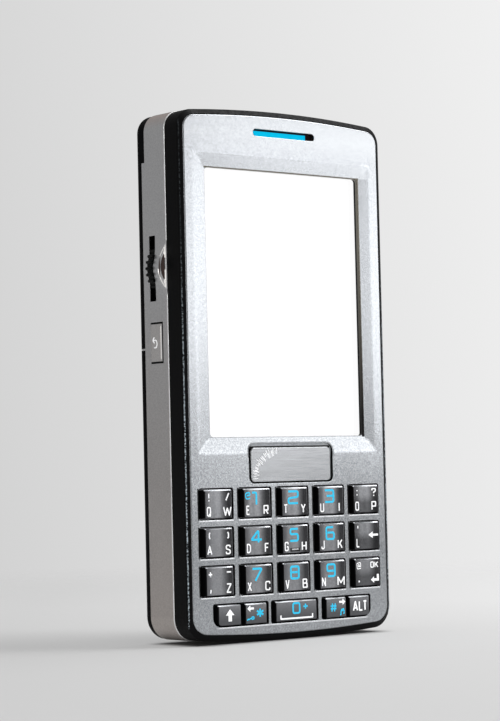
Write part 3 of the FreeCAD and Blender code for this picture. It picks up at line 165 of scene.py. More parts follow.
def less(tree, a, b):
    return math_node(tree, "SUBTRACT", a, b)


def inverse(tree, mask):
    return less(tree, 1.0, mask)


def times(tree, *values):
    out = values[0]
    for value in values[1:]:
        out = math_node(tree, "MULTIPLY", out, value)
    return out


def most(tree, *values):
    """The largest of several values."""
    out = values[0]
    for value in values[1:]:
        out = math_node(tree, "MAXIMUM", out, value)
    return out


def ramp(tree, value, low, high, out_low=0.0, out_high=1.0, smooth=False):
    """The value taken from one range to another, and held beyond its ends."""
    return add(
        tree, "ShaderNodeMapRange", interpolation_type="SMOOTHSTEP" if smooth else "LINEAR",
        Value=value, From_Min=low, From_Max=high, To_Min=out_low, To_Max=out_high,
    ).outputs[0]


def inside(tree, value, limit, soft):
    """1 up to the limit, falling to 0 over the soft width."""
    return ramp(tree, value, limit, limit + soft, 1.0, 0.0)


def beyond(tree, value, limit, soft):
    """0 up to the limit, rising to 1 over the soft width."""
    return ramp(tree, value, limit, limit + soft)


def stripe(tree, value, centre, half, soft):
    """1 within half of the centre, falling to 0 over the soft width."""
    return inside(tree, absolute(tree, less(tree, value, centre)), half, soft)


def cell(tree, value, start, pitch):
    """Place within a repeated cell, from 0 to 1."""
    return math_node(tree, "FRACT", times(tree, less(tree, value, start), 1 / pitch))


def mix_colour(tree, factor, a, b):
    """From colour a to colour b. A constant colour is red, green and blue."""
    a, b = (c if isinstance(c, bpy.types.NodeSocket) else (*c[:3], 1) for c in (a, b))
    return add(tree, "ShaderNodeMix", data_type="RGBA", i0=factor, i6=a, i7=b).outputs[2]


def coordinates(tree):
    """The coordinate node of a material."""
    where = tree.nodes.get("where") or tree.nodes.new("ShaderNodeTexCoord")
    where.name = "where"
    return where.outputs


def position(tree):
    """X, Y and Z on the object, in mm."""
    here = coordinates(tree)["Object"]
    scaled = add(tree, "ShaderNodeVectorMath", operation="SCALE", i0=here, Scale=1 / MM).outputs[0]
    return tuple(add(tree, "ShaderNodeSeparateXYZ", Vector=scaled).outputs)


def facing(tree):
    """X, Y and Z of the direction that the surface faces."""
    return tuple(add(tree, "ShaderNodeSeparateXYZ", Vector=coordinates(tree)["Normal"]).outputs)


def noise(tree, scale, detail=2.0, rough=0.5, stretch=None):
    """Noise over the object; scale is in features per metre."""
    vector = coordinates(tree)["Object"]
    if stretch:
        vector = add(tree, "ShaderNodeMapping", Vector=vector, Scale=stretch).outputs[0]
    node = add(tree, "ShaderNodeTexNoise", Vector=vector, Scale=scale, Detail=detail, Roughness=rough)
    return node.outputs[0]


def speckle(tree, scale, low=0.3, high=0.7, detail=2.0, rough=0.5, stretch=None):
    """Noise with more contrast: 0 up to the low value and 1 from the high one."""
    return ramp(tree, noise(tree, scale, detail, rough, stretch), low, high)


def principled(name, colour, roughness, **fixed):
    """A material with one shader. Constants are set on the shader's own sockets."""
    mat = bpy.data.materials.new(name)
    mat.use_nodes = True
    tree = mat.node_tree
    tree.nodes.clear()
    out = tree.nodes.new("ShaderNodeOutputMaterial")
    shader = tree.nodes.new("ShaderNodeBsdfPrincipled")
    shader.name = "shader"
    tree.links.new(shader.outputs[0], out.inputs[0])
    shader.inputs["Base Color"].default_value = (*colour, 1)
    shader.inputs["Roughness"].default_value = roughness
    mat.diffuse_color = (*colour, 1)
    for key, value in fixed.items():
        shader.inputs[key.replace("_", " ")].default_value = value
    return mat


def link(mat, name, socket):
    """Links an input of the material's shader."""
    mat.node_tree.links.new(socket, mat.node_tree.nodes["shader"].inputs[name])


def base_colour(mat):
    """What feeds the base colour so far: a socket, or a constant colour."""
    base = mat.node_tree.nodes["shader"].inputs["Base Color"]
    return base.links[0].from_socket if base.links else Vector(base.default_value[:3])


def vary(mat, scale, dark=0.9, light=1.1, detail=3.0, stretch=None):
    """Colour variation at one scale round the base colour."""
    base = base_colour(mat)
    patches = speckle(mat.node_tree, scale, detail=detail, stretch=stretch)
    link(mat, "Base Color", mix_colour(mat.node_tree, patches, base * dark, base * light))


def roughen(mat, scale, low, high):
    """Roughness that wanders between two values."""
    link(mat, "Roughness", ramp(mat.node_tree, noise(mat.node_tree, scale), 0.3, 0.7, low, high))


def bump(mat, scale, depth, edge=0.0, stretch=None):
    """Fine relief, its depth in mm. An edge radius in mm softens the sharp corners."""
    tree = mat.node_tree
    height = noise(tree, scale, stretch=stretch)
    node = add(tree, "ShaderNodeBump", Strength=1.0, Distance=depth * MM, Height=height)
    if edge:
        soft = add(tree, "ShaderNodeBevel", samples=4, Radius=edge * MM)
        tree.links.new(soft.outputs[0], node.inputs["Normal"])
    link(mat, "Normal", node.outputs[0])


def edge_wear(mat, radius, colour):
    """Lighter, rubbed edges with a broken outline; the radius is in mm."""
    tree = mat.node_tree
    bevelled = add(tree, "ShaderNodeBevel", samples=4, Radius=radius * MM).outputs[0]
    flat = tree.nodes.new("ShaderNodeNewGeometry").outputs["Normal"]
    same = add(tree, "ShaderNodeVectorMath", operation="DOT_PRODUCT", i0=bevelled, i1=flat)
    edge = ramp(tree, same.outputs["Value"], 0.9, 0.99, 0.6, 0.0)
    rub = times(tree, edge, speckle(tree, 2500, 0.4, 0.6, 3.0))
    link(mat, "Base Color", mix_colour(tree, rub, base_colour(mat), colour))


# The fascia's paint, built from masks that are 1 where they apply

def fascia_flakes(tree, x, z):
    """Silver flakes, coarser round the keys, with a painted highlight at the head that grows to the right.
    """
    grain = speckle(tree, 3300, 0.36, 0.64, 3.0, 0.8)
    coarse = mix_colour(tree, grain, (0.292, 0.305, 0.323), (0.505, 0.525, 0.547))
    fine = mix_colour(tree, grain, (0.352, 0.366, 0.385), (0.434, 0.45, 0.472))
    paint = mix_colour(tree, ramp(tree, z, 34, 50), coarse, fine)
    # Painted highlight: the head is lighter, more so to the right
    head_highlight = times(tree, ramp(tree, z, 98.5, 102.5), ramp(tree, x, -20, 15, 0.4, 0.75))
    return mix_colour(tree, head_highlight, paint, (0.475, 0.49, 0.51))


def opening_wall_shade(tree, x, y, z):
    """Painted shade on the walls of the display opening and of the grooves, by their depth below the
    crowned face.

    The wide pocket round the nameplate is left light, apart from painted shade in the narrow gap beside the
    plate.
    """
    bevel_middle, bevel_half = 68, 30.4
    wall_starts, groove_starts = 0.53, 0.11
    across = absolute(tree, x)
    crown_radius = (FACE_SIDE ** 2 + CROWN_RISE ** 2) / (2 * CROWN_RISE)
    depth = less(tree, less(tree, y, FACE_FRONT), times(tree, x, x, 0.5 / crown_radius))
    pocket = times(
        tree, inside(tree, z, PLATE_TOP + 0.75, 0.2), inside(tree, across, PLATE_SIDE + 0.78, 0.2)
    )
    display = times(tree, stripe(tree, z, bevel_middle, bevel_half, 0.2), inverse(tree, pocket))
    start = ramp(tree, display, 0.0, 1.0, groove_starts, wall_starts)
    # Painted shade, below the depth where it starts
    dark = ramp(tree, less(tree, depth, start), 0.0, 0.06)
    gap = times(
        tree, inside(tree, across, PLATE_SIDE + 0.32, 0.04), inside(tree, z, PLATE_TOP + 0.29, 0.04)
    )
    return times(tree, dark, inverse(tree, times(tree, pocket, inverse(tree, gap))))


def key_opening_shade(tree, x, z, ny):
    """Painted shade on the walls and chamfers of the key openings, which face away from the front."""
    steep = inside(tree, absolute(tree, ny), 0.75, 0.1)
    side = inside(tree, absolute(tree, x), FIELD_SIDE + 0.05, 0.1)
    return times(tree, steep, inside(tree, z, PLATE_TOP + 0.75, 0.1), side, beyond(tree, z, 2.2, 0.1))


def bar_lines(tree, x, z):
    """Two masks: painted shade on the right edges of the bars between the keys, and a painted highlight
    line under each row.
    """
    across = absolute(tree, x)
    rows = stripe(tree, z, FIELD_MIDDLE, FIELD_HALF - 0.05, 0.1)
    field = times(tree, rows, inside(tree, across, FIELD_SIDE - 0.05, 0.05))
    cell_x = cell(tree, x, -FIELD_SIDE, PITCH_X)
    cell_z = cell(tree, z, FIELD_MIDDLE - FIELD_HALF, PITCH_Z)
    # The bars are centred on the cells' edges, so a bar's far edge lies a little way into the cell
    right_edge = stripe(tree, cell_x, 0.0455, 0.014, 0.003)
    upper_edge = stripe(tree, cell_z, 0.065, 0.014, 0.004)
    # Painted shade along the right edge of each bar
    dark = times(tree, right_edge, stripe(tree, cell_z, 0.5, 0.4, 0.02), field)
    # Painted highlight along the upper edge of each bar
    painted_highlight = times(tree, upper_edge, stripe(tree, cell_x, 0.5, 0.42, 0.02), field)
    # Painted highlight line under the lower row
    low_line = stripe(tree, z, LOWER_KEYS_LOW - 0.16, 0.1, 0.04)
    return dark, most(tree, painted_highlight, times(tree, low_line, inside(tree, across, 19.5, 1.0)))


def window_lip_shade(tree, x, z):
    """Painted shade on the lip of the display opening: dark above and on the right, half as dark below."""
    right = times(
        tree, beyond(tree, x, WINDOW_SIDE - 0.37, 0.1), inside(tree, x, WINDOW_SIDE + 0.31, 0.08),
        stripe(tree, z, WINDOW_MIDDLE, 27.2, 0.1),
    )
    ends = inside(tree, absolute(tree, x), WINDOW_SIDE + 0.13, 0.1)
    above = times(tree, stripe(tree, z, WINDOW_TOP + 0.07, 0.13, 0.06), ends)
    below = times(tree, stripe(tree, z, WINDOW_LOW - 0.06, 0.06, 0.05), ends, 0.5)
    return most(tree, right, above, below)


def fascia_normal(tree, x, z):
    """Rounded edges, widely rounded on the display's bevel, with fine grit.

    The bevel above the window is turned a little to the front.
    """
    narrow, wide, turned = 0.15 * MM, 0.9 * MM, 0.24
    across = absolute(tree, x)
    window = times(
        tree, beyond(tree, z, WINDOW_LOW - 0.9, 0.3), inside(tree, across, WINDOW_SIDE + 0.83, 0.3)
    )
    bevel = times(
        tree, inside(tree, across, 24.5, 0.5), beyond(tree, z, 36.8, 0.4), inside(tree, z, 99, 0.5),
        inverse(tree, window),
    )
    edge = add(tree, "ShaderNodeBevel", samples=12, Radius=ramp(tree, bevel, 0.0, 1.0, narrow, wide))
    top_bevel = times(
        tree, beyond(tree, z, WINDOW_TOP + 0.02, 0.3), inside(tree, z, 97.8, 0.6),
        inside(tree, across, 22.5, 1.3),
    )
    level = add(
        tree, "ShaderNodeMix", data_type="VECTOR",
        i0=times(tree, top_bevel, turned), i4=edge.outputs[0], i5=(0, -1, 0),
    )
    grit = noise(tree, 3900)
    return add(
        tree, "ShaderNodeBump", Strength=1.0, Distance=0.004 * MM, Height=grit, Normal=level.outputs[1]
    ).outputs[0]


# Materials, each named after its slot

def silver_face():
    """Silver paint on the crowned face, with painted shade on the walls and grooves below it and painted
    highlights.
    """
    mat = principled("silver_face", (0.4, 0.405, 0.415), 0.2, Metallic=0.88)
    tree = mat.node_tree
    x, y, z = position(tree)
    ny, nz = facing(tree)[1:]
    painted_shade_edges, painted_highlight_lines = bar_lines(tree, x, z)
    paint = mix_colour(tree, painted_highlight_lines, fascia_flakes(tree, x, z), (0.85, 0.87, 0.9))
    # Painted shade on the upward faces at the top, darker on the left
    crest_shade = times(tree, ramp(tree, nz, 0.2, 0.5), ramp(tree, z, 100, 100.5), ramp(tree, x, 0, 20, 0.8, 0.3))
    paint = mix_colour(tree, crest_shade, paint, (0.14, 0.145, 0.155))
    # Painted shade from all the masks above
    dark = most(
        tree, opening_wall_shade(tree, x, y, z), key_opening_shade(tree, x, z, ny), painted_shade_edges, window_lip_shade(tree, x, z)
    )
    # Painted shade on the walls: near black low down, brownish higher up
    wall_shade = mix_colour(tree, ramp(tree, z, 45, 80), (0.008, 0.008, 0.008), (0.14, 0.13, 0.108))
    link(mat, "Base Color", mix_colour(tree, dark, paint, wall_shade))
    link(mat, "Normal", fascia_normal(tree, x, z))
    roughen(mat, 1500, 0.18, 0.23)
    return mat


def black_rim():
    """Black paint, with painted highlight specks along its front ridge, strongest low down."""
    mat = principled("black_rim", (0.003, 0.003, 0.0035), 0.3, Specular_IOR_Level=0.1)
    tree = mat.node_tree
    x, y, z = position(tree)
    corner = stripe(tree, absolute(tree, x), COVER_SIDE - 0.38, 0.06, 0.1)
    ridge = times(tree, corner, inside(tree, y, -6.1, 0.1))
    specks = speckle(tree, 3400, 0.46, 0.58, 3.0, 0.7)
    # Painted highlight: bright specks on the ridge, fading out higher up
    ridge_glints = times(tree, ridge, ramp(tree, z, 45, 80, 1.0, 0.07), specks)
    dark = mix_colour(tree, speckle(tree, 1500), (0.002, 0.002, 0.0024), (0.004, 0.004, 0.0045))
    link(mat, "Base Color", mix_colour(tree, ridge_glints, dark, (0.8, 0.92, 1.0)))
    roughen(mat, 1500, 0.4, 0.6)
    bump(mat, 5200, 0.003, edge=0.05)
    return mat


def band_silver():
    """Warm silver paint, with a painted highlight where the band meets the black cover and painted shade in
    its openings, on upward faces, low down and near the top end.
    """
    mat = principled("band_silver", (0.75, 0.73, 0.72), 0.33, Metallic=0.85)
    tree = mat.node_tree
    x, y, z = position(tree)
    grain = speckle(tree, 3600)
    high = mix_colour(tree, grain, (0.66, 0.66, 0.67), (0.8, 0.8, 0.81))
    low = mix_colour(tree, grain, (0.47, 0.425, 0.4), (0.575, 0.525, 0.495))
    # Painted shade: the paint is darker and warmer towards the bottom
    paint = mix_colour(tree, ramp(tree, z, 0, 70), low, high)
    # Painted shade near the top end, browner and darker
    paint = mix_colour(tree, ramp(tree, z, 103.5, 106.2, 0.0, 0.7), paint, (0.66, 0.5, 0.44))
    # Painted highlight where the band meets the black cover, broken by noise
    meeting_highlight = inside(tree, y, BAND_FRONT + 0.15, 0.12)
    broken = ramp(tree, noise(tree, 900), 0.3, 0.5, 0.6, 1.0)
    paint = mix_colour(tree, times(tree, meeting_highlight, broken), paint, (1.0, 1.0, 1.0))
    # Painted shade on upward faces
    upward_shade = ramp(tree, facing(tree)[2], 0.85, 0.97)
    paint = mix_colour(tree, upward_shade, paint, (0.4, 0.39, 0.385))
    # Painted shade inside the openings
    band_opening_shade = times(tree, stripe(tree, y, 1.6, 2.9, 0.1), stripe(tree, z, 69, 13.5, 0.1))
    inner = inside(tree, absolute(tree, x), BAND_SIDE - 0.18, 0.06)
    link(mat, "Base Color", mix_colour(tree, times(tree, inner, band_opening_shade), paint, (0.004, 0.004, 0.004)))
    roughen(mat, 700, 0.3, 0.4)
    bump(mat, 4600, 0.003, edge=0.12)
    return mat


def back_key_silver():
    """The band's paint on the small key, with painted shade along its gap and a painted highlight on its
    free edge.
    """
    mat = principled("back_key_silver", (0.75, 0.73, 0.72), 0.3, Metallic=0.85)
    tree = mat.node_tree
    y, z = position(tree)[1:]
    paint = mix_colour(tree, speckle(tree, 3600), (0.72, 0.7, 0.69), (0.84, 0.81, 0.8))
    # Painted highlight on the free edge
    painted_highlight = times(tree, inside(tree, y, 0.12, 0.08), stripe(tree, z, BACK_KEY_MIDDLE, 3.6, 0.1))
    paint = mix_colour(tree, painted_highlight, paint, (1.0, 1.0, 1.0))
    # Painted shade along the gap, outside the key's face
    face = times(tree, beyond(tree, y, -0.2, 0.08), stripe(tree, z, BACK_KEY_MIDDLE, 3.72, 0.06))
    link(mat, "Base Color", mix_colour(tree, inverse(tree, face), paint, (0.004, 0.004, 0.004)))
    roughen(mat, 700, 0.26, 0.36)
    bump(mat, 4600, 0.003, edge=0.1)
    return mat


def home_bar(tree, across, z, colour):
    """The raised bar of the middle key: a ring of painted shade round a painted highlight on its top."""
    from_bar = less(tree, z, HOME_BAR)
    # Painted shade round the bar, and a painted highlight on its top
    ring_shade = times(tree, inside(tree, across, 1.25, 0.05), stripe(tree, from_bar, -0.02, 0.36, 0.04))
    lit = times(tree, inside(tree, across, 0.9, 0.05), stripe(tree, from_bar, 0.06, 0.12, 0.04))
    colour = mix_colour(tree, ring_shade, colour, (0.003, 0.003, 0.003))
    return mix_colour(tree, lit, colour, (0.6, 0.61, 0.63))


def key_cap():
    """Dark silver coat on the keys' faces, with a painted highlight on their upper edges, and black on
    their sides.

    Painted shade darkens the hollow faces where they turn right or left, and also the keys of the right
    column in their lower half and the keys of the lower row.
    """
    mat = principled("key_cap", (0.2, 0.205, 0.22), 0.24, Metallic=0.7)
    tree = mat.node_tree
    x, z = position(tree)[::2]
    nx, ny, nz = facing(tree)
    coat = mix_colour(tree, speckle(tree, 3000), (0.26, 0.265, 0.282), (0.36, 0.365, 0.382))
    # Painted shade where the hollow faces turn right, and darker still where they turn left
    coat = mix_colour(tree, ramp(tree, nx, 0.1, 0.2), coat, (0.14, 0.14, 0.15))
    coat = mix_colour(tree, ramp(tree, nx, -0.04, -0.16, 0.0, 0.85), coat, (0.03, 0.03, 0.033))
    cell_z = cell(tree, z, FIELD_MIDDLE - FIELD_HALF, PITCH_Z)
    # Painted shade on the lower half of the right column
    shade = times(tree, ramp(tree, x, 14.8, 15.8), ramp(tree, cell_z, 0.4, 0.6, 0.65, 0.0))
    coat = mix_colour(tree, shade, coat, (0.02, 0.02, 0.022))
    # Painted shade on the lower row, darker towards the bottom
    low_row_shade = times(tree, inside(tree, z, 8.5, 0.5), ramp(tree, z, 4.5, 7.5, 1.0, 0.35))
    coat = mix_colour(tree, low_row_shade, coat, (0.11, 0.112, 0.12))
    # Painted highlight on the keys' upward-facing upper edges
    upper = times(tree, ramp(tree, nz, 0.35, 0.5), inside(tree, ny, -0.55, 0.15))
    side = mix_colour(tree, upper, (0.004, 0.004, 0.0045), (0.36, 0.37, 0.39))
    front = ramp(tree, absolute(tree, ny), 0.9, 0.972)
    colour = mix_colour(tree, front, side, coat)
    link(mat, "Base Color", home_bar(tree, absolute(tree, x), z, colour))
    coated = most(tree, front, upper)
    link(mat, "Metallic", ramp(tree, coated, 0.0, 1.0, 0.0, 0.7))
    link(mat, "Specular IOR Level", ramp(tree, coated, 0.0, 1.0, 0.04, 0.5))
    roughen(mat, 900, 0.17, 0.23)
    bump(mat, 5000, 0.0012, edge=0.05)
    return mat


def plate_metal():
    """Brushed metal with rubbed edges."""
    mat = principled("plate_metal", (0.39, 0.4, 0.415), 0.22, Metallic=0.9)
    vary(mat, 2600, 0.93, 1.07, 2.0, (0.08, 1, 1))
    bump(mat, 5000, 0.0012, 0.08, (0.06, 1, 1))
    edge_wear(mat, 0.12, (0.7, 0.72, 0.74))
    return mat


def cyan_plastic():
    """Blue plastic with a painted glow, and painted shade along its slot's upper and right edges."""
    blue, painted_glow, shadow = (0.0, 0.62, 0.97), (0.0, 0.47, 0.76), (0.012, 0.006, 0.006)
    mat = principled(
        "cyan_plastic", blue, 0.45,
        Specular_IOR_Level=0.03, Emission_Color=(*painted_glow, 1), Emission_Strength=0.7,
    )
    vary(mat, 900, 0.92, 1.08)
    tree = mat.node_tree
    x, z = position(tree)[::2]
    # Painted shade along the slot's upper and right edges
    shade = most(tree, beyond(tree, x, 6.7, 0.2), beyond(tree, z, EAR_MIDDLE + 0.42, 0.16))
    link(mat, "Base Color", mix_colour(tree, shade, base_colour(mat), shadow))
    link(mat, "Emission Color", mix_colour(tree, shade, painted_glow, shadow))
    bump(mat, 3000, 0.003)
    return mat


def rear_black():
    """Black plastic, with a coarser glossy grain on the back and a gleam in the seam on the left."""
    mat = principled("rear_black", (0.003, 0.003, 0.0035), 0.4, Specular_IOR_Level=0.08, IOR=1.35)
    vary(mat, 400, 0.8, 1.25)
    roughen(mat, 1800, 0.38, 0.55)
    bump(mat, 6500, 0.006, edge=0.1)
    edge_wear(mat, 0.2, (0.05, 0.05, 0.052))
    tree = mat.node_tree
    nx, ny = facing(tree)[:2]
    backwards = ramp(tree, ny, 0.6, 0.9)
    gleam = times(tree, stripe(tree, position(tree)[2], SEAM, 0.13, 0.05), inside(tree, nx, -0.7, 0.2))
    specks = speckle(tree, 4200, 0.35, 0.65, 3.0, 0.7)
    grain = mix_colour(tree, specks, (0.014, 0.014, 0.015), (0.034, 0.034, 0.036))
    paint = mix_colour(tree, backwards, base_colour(mat), grain)
    link(mat, "Base Color", mix_colour(tree, gleam, paint, (1.0, 1.0, 1.0)))
    link(mat, "Specular IOR Level", ramp(tree, backwards, 0.0, 1.0, 0.08, 0.45))
    return mat


def screen_glass():
    """The lit display behind its glass."""
    mat = principled(
        "screen_glass", (0.06, 0.06, 0.062), 0.08, Emission_Color=(1, 1, 1, 1), Emission_Strength=0.96
    )
    vary(mat, 60, 0.96, 1.04)
    roughen(mat, 60, 0.05, 0.11)
    return mat


def wheel_plastic():
    """Matt black plastic with worn teeth."""
    mat = principled("wheel_plastic", (0.004, 0.004, 0.004), 0.5, Specular_IOR_Level=0.12)
    vary(mat, 2600, 0.7, 1.4)
    bump(mat, 6000, 0.004, edge=0.04)
    edge_wear(mat, 0.08, (0.06, 0.06, 0.062))
    return mat


def inner_material(name, colour, rough, metal, grain, depth, wear_and_glint=None):
    """A plain material: uneven colour and gloss, fine relief, and edges that are worn lighter; on the trim
    the pale edges are also a painted highlight.

    The grain is in features per metre, and the relief's depth in mm.
    """
    mat = principled(name, colour, rough, Metallic=metal)
    vary(mat, grain, 0.88, 1.12)
    roughen(mat, grain * 0.5, rough * 0.85, min(rough * 1.2, 1))
    bump(mat, grain * 2, depth, edge=0.05)
    edge_wear(mat, 0.1, wear_and_glint or [min(c * 1.6 + 0.04, 0.85) for c in colour])
    return mat


MATS = {
    make.__name__: make()
    for make in (
        silver_face, black_rim, band_silver, key_cap, plate_metal, cyan_plastic, rear_black,
        screen_glass, wheel_plastic,
    )
}
for row in (
    ("module_black", (0.02, 0.02, 0.022), 0.55, 0.0, 2600, 0.006),
    ("foam", (0.02, 0.02, 0.02), 0.9, 0.0, 3500, 0.03),
    ("lcd_white", (0.75, 0.77, 0.8), 0.25, 0.0, 600, 0.001),
    ("tin_steel", (0.55, 0.56, 0.57), 0.32, 1.0, 1400, 0.003),
    ("flex_film", (0.62, 0.26, 0.05), 0.3, 0.0, 1200, 0.003),
    ("silicone", (0.1, 0.1, 0.105), 0.6, 0.0, 2200, 0.008),
    ("dome_steel", (0.6, 0.61, 0.62), 0.25, 1.0, 1800, 0.002),
    ("board_laminate", (0.015, 0.11, 0.05), 0.35, 0.0, 1500, 0.008),
    ("cast_frame", (0.5, 0.51, 0.52), 0.45, 1.0, 1600, 0.012),
    ("screw_steel", (0.42, 0.42, 0.43), 0.3, 1.0, 3000, 0.003),
    # The trim's pale edges are partly wear and partly a painted highlight
    ("trim_brown", (0.05, 0.018, 0.012), 0.12, 0.0, 900, 0.001, (0.75, 0.68, 0.62)),
    ("inner_plastic", (0.03, 0.03, 0.032), 0.5, 0.0, 2400, 0.008),
    ("stylus_black", (0.02, 0.02, 0.022), 0.35, 0.0, 3000, 0.004),
    ("battery_wrap", (0.05, 0.05, 0.055), 0.35, 0.0, 1300, 0.006),
    ("contact_gold", (0.75, 0.5, 0.18), 0.25, 1.0, 2500, 0.002),
    ("connector_black", (0.015, 0.015, 0.016), 0.5, 0.0, 2600, 0.006),
    ("card_white", (0.72, 0.72, 0.71), 0.45, 0.0, 2000, 0.003),
    ("weight_metal", (0.3, 0.3, 0.31), 0.4, 1.0, 2200, 0.006),
):
    MATS[row[0]] = inner_material(*row)

for part in frame["record"]["subparts"]:
    node = nodes[part["node"]]
    node.data.materials.clear()
    node.data.materials.append(MATS[part["material_slot"]])
nodes["back_key"].data.materials[0] = back_key_silver()


# Lettering: strokes in a box one unit wide and high, split by bars; a final z closes a stroke

GLYPHS = {
    "0": "0,0 1,0 1,1 0,1 z",
    "1": ".15,1 .6,1 .6,0",
    "2": "0,1 1,1 1,.52 0,.42 0,0 1,0",
    "3": "0,1 1,1 1,0 0,0|.2,.52 .9,.52",
    "4": ".7,0 .7,1 0,.24 1,.24",
    "5": "1,1 .05,1 .05,.56 1,.56 1,0 0,0",
    "6": ".9,1 0,1 0,0 1,0 1,.55 .15,.55",
    "7": "0,1 1,1 .3,0",
    "8": "0,0 1,0 1,1 0,1 z|.15,.52 .85,.52",
    "9": ".85,.45 0,.45 0,1 1,1 1,0 .1,0",
    "A": "0,0 .5,1 1,0|.24,.3 .76,.3",
    "B": ".1,.52 .9,.52 .9,1 0,1 0,0 1,0 1,.5 .8,.5",
    "C": "1,.74 1,1 0,1 0,0 1,0 1,.26",
    "D": "0,0 .6,0 1,.2 1,.8 .6,1 0,1 z",
    "E": "1,1 0,1 0,0 1,0|.1,.52 .85,.52",
    "F": "0,0 0,1 1,1|.1,.52 .85,.52",
    "G": "1,.76 1,1 0,1 0,0 1,0 1,.46 .55,.46",
    "H": "0,0 0,1|1,0 1,1|.1,.5 .9,.5",
    "I": ".5,0 .5,1",
    "J": "1,1 1,0 0,0 0,.26",
    "K": "0,0 0,1|1,1 .15,.42|.42,.62 1,0",
    "L": "0,1 0,0 1,0",
    "M": "0,0 0,1 .5,.25 1,1 1,0",
    "N": "0,0 0,1 1,0 1,1",
    "O": "0,0 1,0 1,1 0,1 z",
    "P": "0,0 0,1 1,1 1,.44 .15,.44",
    "Q": "0,0 1,0 1,1 0,1 z|.6,.24 1.05,-.08",
    "R": "0,0 0,1 1,1 1,.46 .15,.46|.5,.4 1,0",
    "S": "1,.76 1,1 0,1 0,.56 1,.46 1,0 0,0 0,.24",
    "T": "0,1 1,1|.5,.9 .5,0",
    "U": "0,1 0,0 1,0 1,1",
    "V": "0,1 .5,0 1,1",
    "W": "0,1 .24,0 .5,.85 .76,0 1,1",
    "X": "0,0 1,1|0,1 1,0",
    "Y": "0,1 .5,.48 1,1|.5,.4 .5,0",
    "Z": "0,1 1,1 0,0 1,0",
    "!": ".5,1 .5,.36|.5,.1 .5,-.06",
    "/": "0,0 1,1",
    ":": ".5,.92 .5,.7|.5,.22 .5,0",
    "?": "0,.74 0,1 1,1 1,.62 .5,.5 .5,.32|.5,.08 .5,-.08",
    "(": "1,1 .2,.82 .2,.18 1,0",
    ")": "0,1 .8,.82 .8,.18 0,0",
    "+": "0,.5 1,.5|.5,0 .5,1",
    "-": "0,.5 1,.5",
    ",": ".7,1 .7,.5 .2,0",
    ".": ".5,1 .5,0",
    "'": ".5,1 .5,.2",
    "@": "1,.1 .1,.0 0,.9 .95,1 .95,.35 .65,.35 .65,.68 .35,.68 .35,.36 .6,.36",
    "#": ".2,0 .34,1|.66,0 .8,1|0,.34 1,.34|0,.68 1,.68",
    "*": ".5,0 .5,1|.07,.25 .93,.75|.07,.75 .93,.25",
    "mail": "1,.1 .1,0 0,.9 .9,1 .95,.55 .3,.5|.35,.8 .42,.8|.62,.74 .7,.74",
    "key": "0,.1 .16,.45 .3,.25 .42,.5 .62,.5|.66,.3 .66,.86 1,.92 1,.36 z",
    "notes": ".2,.02 .2,.62 .9,.78 .9,.2|.2,.84 .9,1|0,.02 .2,.02|.7,.2 .9,.2",
    "space": "0,1 0,0 1,0 1,1",
    "power": ".3,.85 0,.6 0,.25 .3,0 .7,0 1,.25 1,.6 .7,.85|.5,1.05 .5,.5",
    "back": ".4,1 0,.72 .4,.44|.1,.72 .8,.72 1,.5 1,.2 .8,0 .3,0",
}

# Filled shapes in the same box

ARROW = ((0, .5), (.45, 1), (.45, .66), (1, .66), (1, .34), (.45, .34), (.45, 0))
SHIFT = ((.5, 1), (1, .5), (.7, .5), (.7, 0), (.3, 0), (.3, .5), (0, .5))
ENTER = ((0, .36), (.4, .72), (.4, .5), (.76, .5), (.76, 1), (1, 1), (1, .22), (.4, .22), (.4, 0))


def rounded(points, radius, closed):
    """The same line with its corners turned into short arcs."""
    n = len(points)
    out = []
    for i, p in enumerate(points):
        if not closed and i in (0, n - 1):
            out.append(p)
            continue
        back, on = points[i - 1] - p, points[(i + 1) % n] - p
        # Under half of each side, so that two arcs never meet
        reach = min(radius, back.length * 0.48, on.length * 0.48)
        a, b = p + back.normalized() * reach, p + on.normalized() * reach
        for t in (0, 0.25, 0.5, 0.75, 1):
            out.append(a * (1 - t) ** 2 + p * 2 * t * (1 - t) + b * t ** 2)
    return out


def divided(points, closed, step):
    """The same line with more points, none further apart than the step."""
    out = []
    pairs = list(zip(points, points[1:] + points[:1] if closed else points[1:]))
    for a, b in pairs:
        parts = max(1, math.ceil((b - a).length / step))
        out += [a.lerp(b, k / parts) for k in range(parts)]
    return out if closed else out + [points[-1]]


def ribbon(points, width, closed):
    """Left and right edge of a stroke, with mitred corners."""
    n = len(points)
    left, right = [], []
    for i, p in enumerate(points):
        before = points[i - 1] if closed or i else None
        after = points[(i + 1) % n] if closed or i < n - 1 else None
        d1 = (p - before).normalized() if before else (after - p).normalized()
        d2 = (after - p).normalized() if after else d1
        across = Vector((-d1.y - d2.y, d1.x + d2.x))
        across.normalize()
        # A sharp corner is cut off, instead of running to a long point
        reach = width / 2 / max(across.dot(Vector((-d1.y, d1.x))), 0.55)
        left.append(p + across * reach)
        right.append(p - across * reach)
    return left, right


